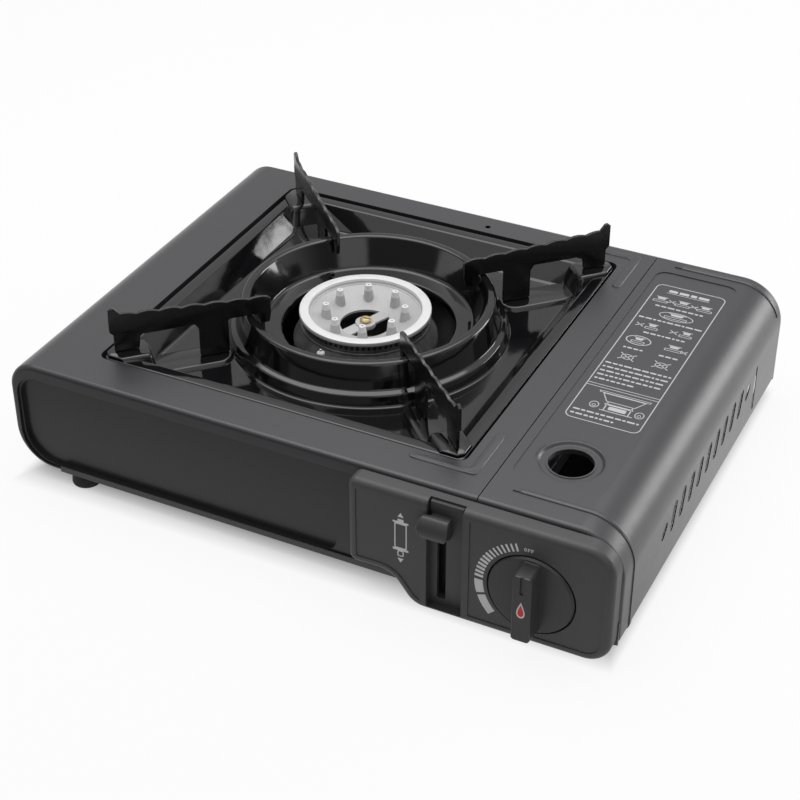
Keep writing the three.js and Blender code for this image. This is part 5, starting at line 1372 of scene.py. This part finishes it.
class LidLabel:
    """The label's marks, placed by their distance from its left edge and from its rear edge."""

    def __init__(self):
        self.shapes = []
        self.choice = random.Random(11)

    def at(self, across, down):
        return (LABEL_LEFT + across, LABEL_REAR - down)

    def solid(self, points):
        self.shapes.append([[self.at(*point) for point in points]])

    def band(self, points, width=LABEL_LINE):
        """A closed line of even width round an outline."""
        loop = [self.at(*point) for point in points]
        self.shapes.append([loop, inset_loop(loop, width)])

    def line(self, x0, y0, x1, y1, width=LABEL_LINE):
        self.shapes.append([capsule_loop(*self.at(x0, y0), *self.at(x1, y1), width, 4)])

    def strokes(self, start, end, down, height=1.25):
        """Rows of short strokes of uneven length in place of words."""
        here = start
        while here < end - 1.2:
            length = min(self.choice.uniform(1.4, 4.2), end - here)
            self.solid(box_loop(here, here + length, down - height / 2, down + height / 2, 0.3, 2))
            here += length + 0.7

    def ellipse(self, x, y, wide, deep, width=LABEL_LINE):
        points = [(x + px * wide, y + py * deep) for px, py in circle_loop(0, 0, 1.0, 28)]
        self.band(points, width)

    def burner(self, x, y, wide=5.0):
        """A low stove with a pot on it."""
        self.band(box_loop(x - wide, x + wide, y + 0.4, y + 2.6, 0.5, 3), 0.45)
        self.solid([(x - wide * 0.6, y - 2.4), (x + wide * 0.6, y - 2.4), (x + wide * 0.45, y - 0.5),
                    (x - wide * 0.45, y - 0.5)])
        self.line(x - wide * 0.75, y - 2.9, x + wide * 0.75, y - 2.9, 0.5)

    def cross(self, x, y, size=2.4):
        self.line(x - size, y - size * 0.7, x + size, y + size * 0.7, 0.6)
        self.line(x - size, y + size * 0.7, x + size, y - size * 0.7, 0.6)

    def draw(self):
        """The frame with its dividing lines and a heading, then rows of signs and strokes downwards."""
        outer = box_loop(0, LABEL_WIDTH, 0, LABEL_LENGTH, 4.0, 6)
        self.band(outer, 0.55)
        self.solid(box_loop(0.3, LABEL_WIDTH - 0.3, LABEL_DIVIDER, LABEL_DIVIDER + 0.45, 0.1, 1))
        self.solid(box_loop(0.3, LABEL_WIDTH - 0.3, LABEL_DIVIDER + 2.2, LABEL_DIVIDER + 2.65, 0.1, 1))
        for start, end in ((8.0, 13.0), (14.0, 19.5), (20.5, 24.0), (25.0, 31.0)):
            self.solid(box_loop(start, end, 4.2, 6.6, 0.5, 3))
        self.solid(box_loop(7.4, 31.6, 7.5, 7.9, 0.1, 1))
        for x in (7.0, 19.5, 32.0):
            self.burner(x, 16.0, 4.2)
        self.cross(13.2, 16.0, 1.8)
        self.cross(25.8, 16.0, 1.8)
        self.strokes(6.0, 33.0, 22.6)
        self.burner(20.5, 30.2, 6.4)
        self.ellipse(20.5, 30.2, 9.6, 4.2)
        self.strokes(1.8, 37.8, 37.2)
        for x in (10.5, 29.5):
            self.cross(x - 5.2, 45.0, 1.9)
            self.burner(x + 1.6, 45.0, 3.6)
        self.strokes(9.5, 33.0, 51.4)
        self.ellipse(10.2, 60.6, 7.0, 4.6, 0.6)
        self.burner(10.2, 60.8, 3.8)
        self.burner(29.6, 60.6, 4.6)
        self.cross(35.6, 61.8, 1.6)
        self.strokes(5.0, 15.6, 69.4)
        self.strokes(24.6, 35.4, 69.4)
        for x in (10.4, 29.0):
            self.ellipse(x, 78.2, 3.4, 2.6)
            self.cross(x, 78.2, 4.2)
        for row in range(4):
            self.strokes(1.8, 37.6, 87.2 + row * 4.0)
        self.strokes(1.8, 23.0, 103.2)
        self.draw_pan_sign()
        self.strokes(2.2, 37.0, 133.6)
        self.strokes(2.2, 25.0, 137.4)
        field = BODY_TOP - LABEL_SINK
        forms = [sheet_form(shape, field + PRINT_LOW, field + PRINT_HIGH) for shape in self.shapes]
        return merged("lid_label", forms)

    def draw_pan_sign(self):
        """A wide pan over a burner, between two flames."""
        self.band([(8.6, 112.8), (36.6, 112.8), (36.0, 114.4), (9.2, 114.4)], 0.4)
        self.band([(11.0, 114.4), (34.4, 114.4), (30.4, 121.4), (15.2, 121.4)], 0.5)
        self.solid(box_loop(15.2, 30.4, 123.0, 124.2, 0.3, 2))
        self.solid(box_loop(18.2, 27.6, 124.9, 128.0, 0.6, 3))
        self.line(14.6, 129.4, 31.6, 129.4, 0.6)
        for x in (16.4, 29.4):
            self.line(x, 121.4, x, 129.0, 0.6)
        for x in (10.6, 34.6):
            self.ellipse(x, 126.2, 2.5, 2.9)
            self.ellipse(x, 126.8, 1.0, 1.2, 0.35)


class STOVE_OT_body(bpy.types.Operator):
    """Finish the painted body, the lid and the plates"""

    bl_idname = "stove.body"
    bl_label = "Body and lid"

    def execute(self, context):
        softened("body_cover", edge=0.3, mesh=cover_form())
        softened("cartridge_lid", edge=0.22, mesh=lid_form())
        softened("front_panel", edge=0.3)
        softened("rear_panel", edge=0.2)
        softened("base_plate", edge=0.2)
        piece("lid_label_print", on_body(LidLabel().draw()), "pale_ink", "lid", "body_paint")
        self.make_feet()
        self.make_rivets()
        return {"FINISHED"}

    def make_feet(self):
        names = [f"foot_{place}" for place in CORNERS]
        spots = [Vector((centre_of(name)[0], centre_of(name)[1], 0)) * MM for name in names]
        # A foot from the middle of its underside, up its side to the barb that holds it in the base
        foot = lathed([
            (0, 0.5, 0), (5.2, 0.5, 0.2), (5.6, 0, 0.2), (7.6, 0, 0.6), (8.0, 1.2, 0.6), (7.2, 7.7, 0.5),
            (2.6, 7.7, 0), (2.6, 9.3, 0), (4, 9.3, 0.3), (2.6, 11.1, 0.6), (0, 11.1, 0),
        ], 4, 48)
        feet = repeated(spots_tree(), foot, "black_rubber", mesh_from("spots", spots, []))
        piece("rubber_feet", outward(feet), "black_rubber", "housing", nodes=names)

    def make_rivets(self):
        for side, place in ((-1, "front"), (1, "rear")):
            node = f"lid_hinge_pin_{place}"
            x, _, z = centre_of(node)
            low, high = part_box(node)
            outside = (low[1] if side < 0 else high[1]) / MM
            inside = (high[1] if side < 0 else low[1]) / MM
            length = abs(inside - outside)
            # The domed head outside, the shank that the lid turns on, and the spread end inside
            rivet = lathed([
                (0, 0, 0), (2.0, 0.08, 0.6), (3.0, 0.5, 0.3), (3.0, 0.8, 0), (1.5, 0.8, 0),
                (1.5, length - 0.8, 0), (2.4, length - 0.8, 0), (2.3, length, 0.3), (0, length, 0),
            ], 4, 40)
            rivet.transform(Matrix.Rotation(side * math.pi / 2, 4, "X"))
            rivet.transform(Matrix.Translation(Vector((x, outside, z)) * MM))
            piece(f"{node}_rivet", outward(rivet), "plain_steel", "housing", nodes=(node,))


# Controls: panel, printed marks, knob and lever

PANEL_CORNERS = [
    (33, 19, 4.5), (56, 19, 12), (68, 3, 12), (170, 3, 13), (170, 69.5, 15), (33, 69.5, 4.5),
]
PANEL_BACK = 126.3
PANEL_WALL = 2.2
PANEL_ROUND = 3.6
FIELD_INSET = 4.6
FIELD_SINK = 0.5
LEFT_FIELD_END = 71.9
RIGHT_FIELD_START = 97.5
CHANNEL_LEFT = 75.4
CHANNEL_RIGHT = 94.0
CHANNEL_DEEP = 5.0
CHANNEL_LOW = 5.5
SLOT_LEFT = 79.0
SLOT_RIGHT = 83.6
SLOT_LOW = 9.0
SLOT_HIGH = 66.0
KNOB_X = 129.5
KNOB_Z = 32.6
KNOB_RADIUS = 21.9
KNOB_GAP = 0.8
KNOB_FACE = 136.8
KNOB_THICK = 5.5
KNOB_FRONT = 147.9
HUB_RADIUS = 6.0
GRIP_HALF = 5.1
GRIP_REACH = 19.6
CHANNEL_HIGH = 68.5
SIGN_X = 61.6
SIGN_Z = 43.7
LEVER_PLATE_FRONT = 127.0
LEVER_LOW = 51
LEVER_HIGH = 61

# The scale round the knob, in degrees: its thin bars, the widths of both halves, and its two blocks
DIAL_BARS = (105, 178)
FINE_BAR_WIDTHS = (1.0, 1.45)
DIAL_BLOCKS = ((180.5, 197), (200, 223))

# Width and height of the drop on the knob: its pale outline and its red fill
DROP_OUTLINE = (4.9, 9.6)
DROP_FILL = (3.5, 7.2)

def on_front(mesh, x, front, z):
    """Puts a flat form, drawn with +X right, +Y up and its face at height 0, on a front face."""
    mesh.transform(FACE_FRONT)
    mesh.transform(Matrix.Translation(stove_point(x, -front, z)))
    return outward(mesh)


def raised_outline(loop, distance, height):
    return [(x, y, height) for x, y in (inset_loop(loop, distance) if distance else loop)]


def panel_form():
    """The moulded panel, drawn from the front with its face at height 0."""
    thick = PANEL_FRONT - PANEL_BACK
    loop = rounded_loop(PANEL_CORNERS, 14)
    rings = [raised_outline(loop, 0, -thick)]
    for k in range(9):
        turn = k / 8 * math.pi / 2
        rings.append(raised_outline(
            loop, PANEL_ROUND * (1 - math.cos(turn)), PANEL_ROUND * (math.sin(turn) - 1),
        ))
    panel = lofted(rings)

    # Hollow from behind, with backs for the channel and for the knob's seat
    inner = sheet_form([rounded_loop(inset_corners(PANEL_CORNERS, PANEL_WALL), 8)], -thick - 1, -PANEL_WALL)
    panel = combined(panel, inner, "DIFFERENCE")
    cup_floor = KNOB_FACE - KNOB_THICK - 0.3 - PANEL_FRONT
    seat = KNOB_RADIUS + KNOB_GAP
    channel_back = box_loop(CHANNEL_LEFT - PANEL_WALL, CHANNEL_RIGHT + PANEL_WALL, 4.2, 68.3, 0.5, 2)
    seat_back = circle_loop(KNOB_X, KNOB_Z, seat + PANEL_WALL, 96)
    backing = merged("backing", [
        sheet_form([channel_back], -CHANNEL_DEEP - PANEL_WALL, -1),
        sheet_form([seat_back], cup_floor - PANEL_WALL, -1),
    ])
    panel = combined(panel, backing, "UNION")

    # Two sunk fields in the face, with the raised land of the channel between them
    inside = rounded_loop(inset_corners(PANEL_CORNERS, FIELD_INSET), 8)
    field = sheet_form([inside], -FIELD_SINK, 2)
    middle = sheet_form([box_loop(LEFT_FIELD_END, RIGHT_FIELD_START, -5, 80, 0.4, 2)], -3, 4)
    field = combined(field, middle, "DIFFERENCE")
    panel = combined(panel, field, "DIFFERENCE")

    # The channel and the seat from the front, then the lever's slot and the hub's hole right through
    openings = [
        sheet_form([box_loop(CHANNEL_LEFT, CHANNEL_RIGHT, CHANNEL_LOW, 76, 0.6, 2)], -CHANNEL_DEEP, 3),
        sheet_form([circle_loop(KNOB_X, KNOB_Z, seat, 128)], cup_floor, 3),
    ]
    panel = combined(panel, merged("openings", openings), "DIFFERENCE")
    holes = [
        sheet_form([box_loop(SLOT_LEFT, SLOT_RIGHT, SLOT_LOW, SLOT_HIGH, 0.8, 3)], -thick - 1, -3),
        sheet_form([circle_loop(KNOB_X, KNOB_Z, HUB_RADIUS + 1, 48)], -thick - 1, -3),
    ]
    return combined(panel, merged("holes", holes), "DIFFERENCE")


def dial_marks(sizes):
    """The scale round the knob: thin bars that grow, two long blocks and the word OFF."""
    arc = arc_tree()
    start, end = (math.radians(angle) for angle in DIAL_BARS)
    length = sizes.outer_radius - sizes.inner_radius
    middle = (sizes.outer_radius + sizes.inner_radius) / 2
    half = sizes.fine_bars // 2
    forms = []
    for first, last, width, count in (
        (start, (start + end) / 2, FINE_BAR_WIDTHS[0], half),
        ((start + end) / 2, end, FINE_BAR_WIDTHS[1], sizes.fine_bars - half),
    ):
        bar = sheet_form(
            [box_loop(-length / 2, length / 2, -width / 2, width / 2, 0.1, 1)], PRINT_LOW, PRINT_HIGH,
        )
        forms.append(repeated(
            arc, bar, "pale_ink", Count=count, Radius=middle * MM, Start=first, Sweep=last - first,
        ))
    for first, last in DIAL_BLOCKS:
        loop = sector_loop(sizes.inner_radius, sizes.outer_radius, first, last)
        forms.append(sheet_form([loop], PRINT_LOW, PRINT_HIGH))
    forms += off_letters(-2.0, sizes.outer_radius - 3.2)
    return merged("dial_marks", forms)


def off_letters(x, y):
    """The word OFF from plain strokes."""
    height, width, line = 2.0, 1.3, 0.36

    def oval(wide, tall):
        return [(x - 1.8 + px * wide, y + py * tall) for px, py in circle_loop(0, 0, 1.0, 24)]

    letters = [[oval(width / 2, height / 2), oval(width / 2 - line, height / 2 - line)]]
    top = y + height / 2
    foot = y - height / 2
    for left in (x - 0.6, x + 1.1):
        stem = left + line
        arm = left + width * 0.8
        letters.append([[
            (left, foot), (stem, foot), (stem, y - line / 2), (arm, y - line / 2), (arm, y + line / 2),
            (stem, y + line / 2), (stem, top - line), (left + width, top - line), (left + width, top),
            (left, top),
        ]])
    return [sheet_form(letter, PRINT_LOW, PRINT_HIGH) for letter in letters]


def sector_loop(inner, outer, first, last, steps=10):
    angles = [math.radians(first + (last - first) * k / steps) for k in range(steps + 1)]
    far = [(outer * math.cos(a), outer * math.sin(a)) for a in angles]
    near = [(inner * math.cos(a), inner * math.sin(a)) for a in reversed(angles)]
    return far + near


def cartridge_sign():
    """A plain outline of a cartridge between an up arrow and a down arrow."""
    line = 0.6
    body = box_loop(-3.3, 3.3, -7.6, 7.6, 0.6, 3)
    collar = box_loop(-1.7, 1.7, -12.4, -8.9, 0.8, 3)
    shapes = [
        [body, inset_loop(body, line)],
        [box_loop(-4.2, 4.2, 7.6, 8.7, 0.4, 3)],
        [box_loop(-4.2, 4.2, -8.9, -7.6, 0.4, 3)],
        [box_loop(-1.6, 1.6, 8.7, 10.2, 0.3, 3)],
        [collar, inset_loop(collar, line)],
        [[(-1.6, 11.4), (1.6, 11.4), (0, 14.0)]],
        [[(1.6, -13.6), (-1.6, -13.6), (0, -16.2)]],
    ]
    return merged("cartridge_sign", [sheet_form(loops, PRINT_LOW, PRINT_HIGH) for loops in shapes])


def drop_loop(width, height):
    """A teardrop outline, pointed at the top."""
    loop = []
    steps = 48
    for k in range(steps):
        t = 2 * math.pi * k / steps
        loop.append((width * 0.62 * math.sin(t) * math.sin(t / 2) ** 1.5, height / 2 * math.cos(t)))
    return loop


def lever_tab():
    """The part that a finger pushes, as rings from its lower end to its top."""
    back = 136.5
    rings = []
    for z, left, right, front, corner in (
        (49.6, 78.4, 85.6, 138.2, 0.7), (50.6, 76.6, 86.4, 140.0, 1.0), (52.2, 74.4, 87.4, 141.5, 1.3),
        (54.2, 72.6, 88.2, 142.3, 1.5), (57.0, 72.0, 88.5, 142.4, 1.5), (59.6, 72.4, 88.4, 141.4, 1.5),
        (61.6, 73.2, 88.2, 139.7, 1.2), (62.6, 74.2, 87.9, 138.3, 0.8),
    ):
        rings.append([(x, y, z) for x, y in box_loop(left, right, -front, -back, corner, 5)])
    return lofted(rings)


def block_form(x0, x1, front, back, z0, z1):
    """A block between two depths, measured towards the front."""
    return lofted([[(x0, -front, z), (x1, -front, z), (x1, -back, z), (x0, -back, z)] for z in (z0, z1)])


def lever_form():
    """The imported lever's inner plate with a finer slider, neck and tab in front of it."""
    cut_front = on_body(block_form(60, 110, 150, LEVER_PLATE_FRONT, 20, 80))
    inner = combined(packed_form("lock_lever"), cut_front, "DIFFERENCE")
    floor = PANEL_FRONT - CHANNEL_DEEP
    # The neck through the slot, its foot on the plate, the slider in the channel, the tab's root, the tab
    fronts = [
        block_form(80.0, 82.6, floor + 0.6, LEVER_PLATE_FRONT + 0.2, LEVER_LOW, LEVER_HIGH),
        block_form(
            80.0, 87.8, LEVER_PLATE_FRONT + 1.6, LEVER_PLATE_FRONT - 0.2, LEVER_LOW, LEVER_HIGH,
        ),
        block_form(CHANNEL_LEFT + 0.8, CHANNEL_RIGHT - 0.8, floor + 2.3, floor + 0.3, 49, CHANNEL_HIGH),
        block_form(77.4, 87.5, PANEL_FRONT + 1.0, floor + 2.0, 50.6, 61.8),
        lever_tab(),
    ]
    return merged("lever", [inner] + [on_body(form) for form in fronts])


class STOVE_OT_controls(bpy.types.Operator):
    """Make the control panel, its marks, the knob and the lever"""

    bl_idname = "stove.controls"
    bl_label = "Controls"

    def execute(self, context):
        panel = on_front(panel_form(), 0, PANEL_FRONT, 0)
        piece(
            "control_panel_moulding", panel, "moulded_plastic", "housing", nodes=("control_panel",), edge=0.3,
            sharp=40.0, segments=3,
        )
        softened("lock_lever", edge=0.3, mesh=lever_form(), sharp=40.0)
        field = PANEL_FRONT - FIELD_SINK
        marks = on_front(dial_marks(context.scene.stove_dial), KNOB_X, field, KNOB_Z)
        piece("dial_print", marks, "pale_ink", "housing", "moulded_plastic")
        sign = on_front(cartridge_sign(), SIGN_X, field, SIGN_Z)
        piece("cartridge_sign_print", sign, "pale_ink", "housing", "moulded_plastic")
        self.make_knob()
        return {"FINISHED"}

    def make_knob(self):
        back = HALF_DEPTH - 0.4 - KNOB_FACE
        # The disc from the middle of its face, over its edge, and back along the hub
        disc = lathed([
            (0, 0, 0), (KNOB_RADIUS - 0.9, 0, 0.5), (KNOB_RADIUS, -1.2, 0.6), (KNOB_RADIUS, -KNOB_THICK, 0.3),
            (HUB_RADIUS, -KNOB_THICK, 0), (HUB_RADIUS, back, 0.3), (0, back, 0),
        ], 5, 144)
        height = KNOB_FRONT - KNOB_FACE

        rings = []
        for half, reach, corner, z in (
            (0.9, 0.9, 3.2, -0.6), (0.4, 0.5, 2.6, 0.35), (0.1, 0.2, 2.2, 1.4),
            (-0.3, -0.3, 1.8, height - 1.0), (-0.5, -0.5, 1.6, height - 0.35), (-1.0, -1.0, 1.3, height),
        ):
            half += GRIP_HALF
            reach += GRIP_REACH
            rings.append([(x, y, z) for x, y in box_loop(-half, half, -reach, reach, corner, 8)])
        grip = lofted(rings)
        groove = sheet_form([box_loop(-0.9, 0.9, 9.0, GRIP_REACH + 2, 0.6, 4)], height - 0.8, height + 2)
        grip = combined(grip, groove, "DIFFERENCE")
        knob = on_front(merged("knob", [disc, grip]), KNOB_X, KNOB_FACE, KNOB_Z)
        piece("gas_knob_moulding", knob, "knob_plastic", "knob", "moulded_plastic", ("gas_knob",), 0.15, 40.0)
        drop_at = KNOB_Z + 0.2
        white = sheet_form([drop_loop(*DROP_OUTLINE)], PRINT_LOW, PRINT_HIGH - 0.01)
        red = sheet_form([drop_loop(*DROP_FILL)], PRINT_LOW, PRINT_HIGH + 0.02)
        for name, print_form, ink, lower in (
            ("knob_drop_outline", white, "pale_ink", 0.0), ("knob_red_drop", red, "red_ink", 0.3),
        ):
            placed = on_front(print_form, KNOB_X, KNOB_FRONT, drop_at - lower)
            piece(name, placed, ink, "knob", "moulded_plastic")


# Works: what shows through the openings and when the lid is up


class STOVE_OT_works(bpy.types.Operator):
    """Finish the pieces inside the body"""

    bl_idname = "stove.works"
    bl_label = "Inner works"

    def execute(self, context):
        for node in (
            "partition_wall", "mixing_tube", "burner_bracket", "gas_valve", "cartridge_socket", "socket_seal",
            "regulator_cap", "cartridge_locating_tab", "gas_jet", "cartridge_carriage", "valve_spindle",
            "ignition_cam", "igniter_housing", "igniter_plunger",
        ):
            softened(node, edge=0.15)
        return {"FINISHED"}


# Stage: floor, room, lights and camera

CAMERA_PLACE = (0.36323, -0.73948, 0.59217)
CAMERA_TARGET = (0.00160, -0.00412, 0.030)
CAMERA_LENS = 82.46
CAMERA_SENSOR = 36.0
FLOOR_HALF = 4.0

# Each light's place, what it faces, its width and depth in metres, and the setting for its power
LIGHTS = {
    "ceiling_light": ((-0.1, 0.15, 1.1), (0, 0, 0), 1.3, 1.1, "ceiling_power"),
    "right_light": ((1.0, 1.1, 0.36), (0.1, 0, 0.03), 0.6, 0.5, "side_power"),
}

# Ways to the two soft boxes beside the camera that show in reflections
SOFT_BOXES = ((0.658, -0.708, 0.253), (-0.858, -0.505, 0.098))

# Where each glow of the room starts and is full, by direction, and its level at both ends
GLOW_BEYOND = (-0.35, 0.45, 0.15, 0.62)
GLOW_OVERHEAD = (0.35, 0.65, 0.0, 0.85)
GLOW_SOFT_BOX = (0.95, 0.98, 0.0, 1.0)

# Edges, in metres, of the floor under the stove, which stays as dark as its shadow makes it
SHADE_SIDE = (0.160, 0.172)
SHADE_REAR = (0.128, 0.142)
SHADE_FRONT = (-0.100, -0.126)
MIRRORED_FRONT = (-0.30, 0.05)
MIRRORED_LEAST = 0.15


def white_room(level):
    """White to the camera, dark behind the camera and white beyond in reflections, and an even light."""
    world = bpy.data.worlds.new("room")
    bpy.context.scene.world = world
    world.use_nodes = True
    tree = world.node_tree
    tree.nodes.clear()
    path = tree.nodes.new("ShaderNodeLightPath").outputs
    way = add_node(tree, "ShaderNodeTexCoord", {}, {}, "Generated")
    parts = tree.nodes.new("ShaderNodeSeparateXYZ")
    tree.links.new(way, parts.inputs[0])

    def rise(value, low, high, start, end):
        return add_node(tree, "ShaderNodeMapRange", {"interpolation_type": "SMOOTHSTEP"}, {
            "Value": value, "From Min": low, "From Max": high, "To Min": start, "To Max": end,
        })

    def most(first, second):
        return add_node(tree, "ShaderNodeMath", {"operation": "MAXIMUM"}, {0: first, 1: second})

    mirrored = most(rise(parts.outputs[1], *GLOW_BEYOND), rise(parts.outputs[2], *GLOW_OVERHEAD))
    for place in SOFT_BOXES:
        product = {"operation": "DOT_PRODUCT"}
        facing = add_node(tree, "ShaderNodeVectorMath", product, {0: way, 1: place}, "Value")
        mirrored = most(mirrored, rise(facing, *GLOW_SOFT_BOX))
    even = add_node(tree, "ShaderNodeBackground", {}, {"Strength": level})
    reflected = add_node(tree, "ShaderNodeBackground", {}, {"Color": mirrored})
    seen = add_node(tree, "ShaderNodeBackground", {}, {"Color": (1.0, 1.0, 1.0)})
    mixed = add_node(tree, "ShaderNodeMixShader", {}, {0: path["Is Glossy Ray"], 1: even, 2: reflected})
    straight = most(path["Is Camera Ray"], path["Is Transmission Ray"])
    mixed = add_node(tree, "ShaderNodeMixShader", {}, {0: straight, 1: mixed, 2: seen})
    tree.links.new(mixed, tree.nodes.new("ShaderNodeOutputWorld").inputs["Surface"])


def floor_finish():
    """A pale floor that the camera sees white round the stove, with a faint shadow.

    Under the stove it keeps its own shade, and in reflections it is darker towards the front.
    """
    board = Board("pale_floor")
    path = board.tree.nodes.new("ShaderNodeLightPath")
    seen = Shade(board, path.outputs["Is Camera Ray"])
    mirrored = Shade(board, path.outputs["Is Glossy Ray"])
    across = board.node("ShaderNodeSeparateXYZ", {}, {"Vector": board.place()}, "X")
    along = board.node("ShaderNodeSeparateXYZ", {}, {"Vector": board.place()}, "Y")
    level = board.maths_max(seen, MIRRORED_LEAST + along.within(*MIRRORED_FRONT) * (1 - MIRRORED_LEAST))
    aside = (across * across).within(*(edge ** 2 for edge in SHADE_SIDE))
    clear = board.maths_max(aside, board.maths_max(along.within(*SHADE_REAR), along.within(*SHADE_FRONT)))
    glow = board.node("ShaderNodeEmission", {}, {"Color": level})
    share = seen * clear * 0.9 + mirrored
    plain = Shade(board, board.shader.outputs[0])
    mixed = board.node("ShaderNodeMixShader", {}, {0: share, 1: plain, 2: glow})
    board.set(Base_Color=(1.0, 1.0, 1.0), Roughness=0.9)
    board.tree.links.new(mixed.socket, board.tree.nodes["Material Output"].inputs["Surface"])
    return board.material


def soft_light(name, place, target, width, depth, power):
    lamp = bpy.data.lights.new(name, "AREA")
    lamp.shape = "RECTANGLE"
    lamp.size = width
    lamp.size_y = depth
    lamp.energy = power
    made = in_scene(name, lamp)
    made.location = place
    made.rotation_euler = (Vector(target) - Vector(place)).to_track_quat("-Z", "Y").to_euler()


class STOVE_OT_stage(bpy.types.Operator):
    """Set the floor, the room, the lights and the camera"""

    bl_idname = "stove.stage"
    bl_label = "Stage"

    def execute(self, context):
        settings = context.scene.stove_stage
        context.scene.view_settings.view_transform = "Standard"
        white_room(settings.room_level)
        for name, (place, target, width, depth, power) in LIGHTS.items():
            soft_light(name, place, target, width, depth, getattr(settings, power))
        corners = [(x * FLOOR_HALF, y * FLOOR_HALF, 0) for x, y in ((-1, -1), (1, -1), (1, 1), (-1, 1))]
        floor = mesh_from("floor", corners, [(0, 1, 2, 3)])
        floor.materials.append(floor_finish())
        made = in_scene("floor", floor)
        camera = bpy.data.cameras.new("camera")
        camera.sensor_width = CAMERA_SENSOR
        camera.lens = CAMERA_LENS
        camera.clip_start = 0.01
        viewer = in_scene("camera", camera)
        viewer.location = CAMERA_PLACE
        look = Vector(CAMERA_TARGET) - Vector(CAMERA_PLACE)
        viewer.rotation_euler = look.to_track_quat("-Z", "Y").to_euler()
        context.scene.camera = viewer
        return {"FINISHED"}


class STOVE_PT_sidebar(bpy.types.Panel):
    """Lists the stove's makers and sizes"""

    bl_idname = "STOVE_PT_sidebar"
    bl_label = "Tabletop Butane Stove"
    bl_space_type = "VIEW_3D"
    bl_region_type = "UI"
    bl_category = "Stove"

    def draw(self, context):
        for name, kind in GROUPS.items():
            box = self.layout.box()
            for setting in kind.__annotations__:
                box.prop(getattr(context.scene, name), setting)
        for maker in MAKERS:
            self.layout.operator(maker.bl_idname)


GROUPS = {
    "stove_pan": PanSizes, "stove_supports": SupportSizes, "stove_burner": BurnerSizes,
    "stove_dial": DialSizes, "stove_colours": FinishColours, "stove_stage": StageSettings,
}
MAKERS = (
    STOVE_OT_stage, STOVE_OT_body, STOVE_OT_drip_pan, STOVE_OT_pot_supports, STOVE_OT_burner,
    STOVE_OT_controls, STOVE_OT_works,
)


def register():
    for kind in (*GROUPS.values(), *MAKERS, STOVE_PT_sidebar):
        bpy.utils.register_class(kind)
    for name, kind in GROUPS.items():
        setattr(bpy.types.Scene, name, PointerProperty(type=kind))


def unregister():
    for name in GROUPS:
        delattr(bpy.types.Scene, name)
    for kind in (STOVE_PT_sidebar, *reversed(MAKERS), *reversed(tuple(GROUPS.values()))):
        bpy.utils.unregister_class(kind)


def main():
    register()
    make_finishes(bpy.context.scene.stove_colours)
    bpy.ops.stove.stage()
    bpy.ops.stove.body()
    bpy.ops.stove.drip_pan()
    bpy.ops.stove.pot_supports()
    bpy.ops.stove.burner()
    bpy.ops.stove.controls()
    bpy.ops.stove.works()


if __name__ == "__main__":
    main()
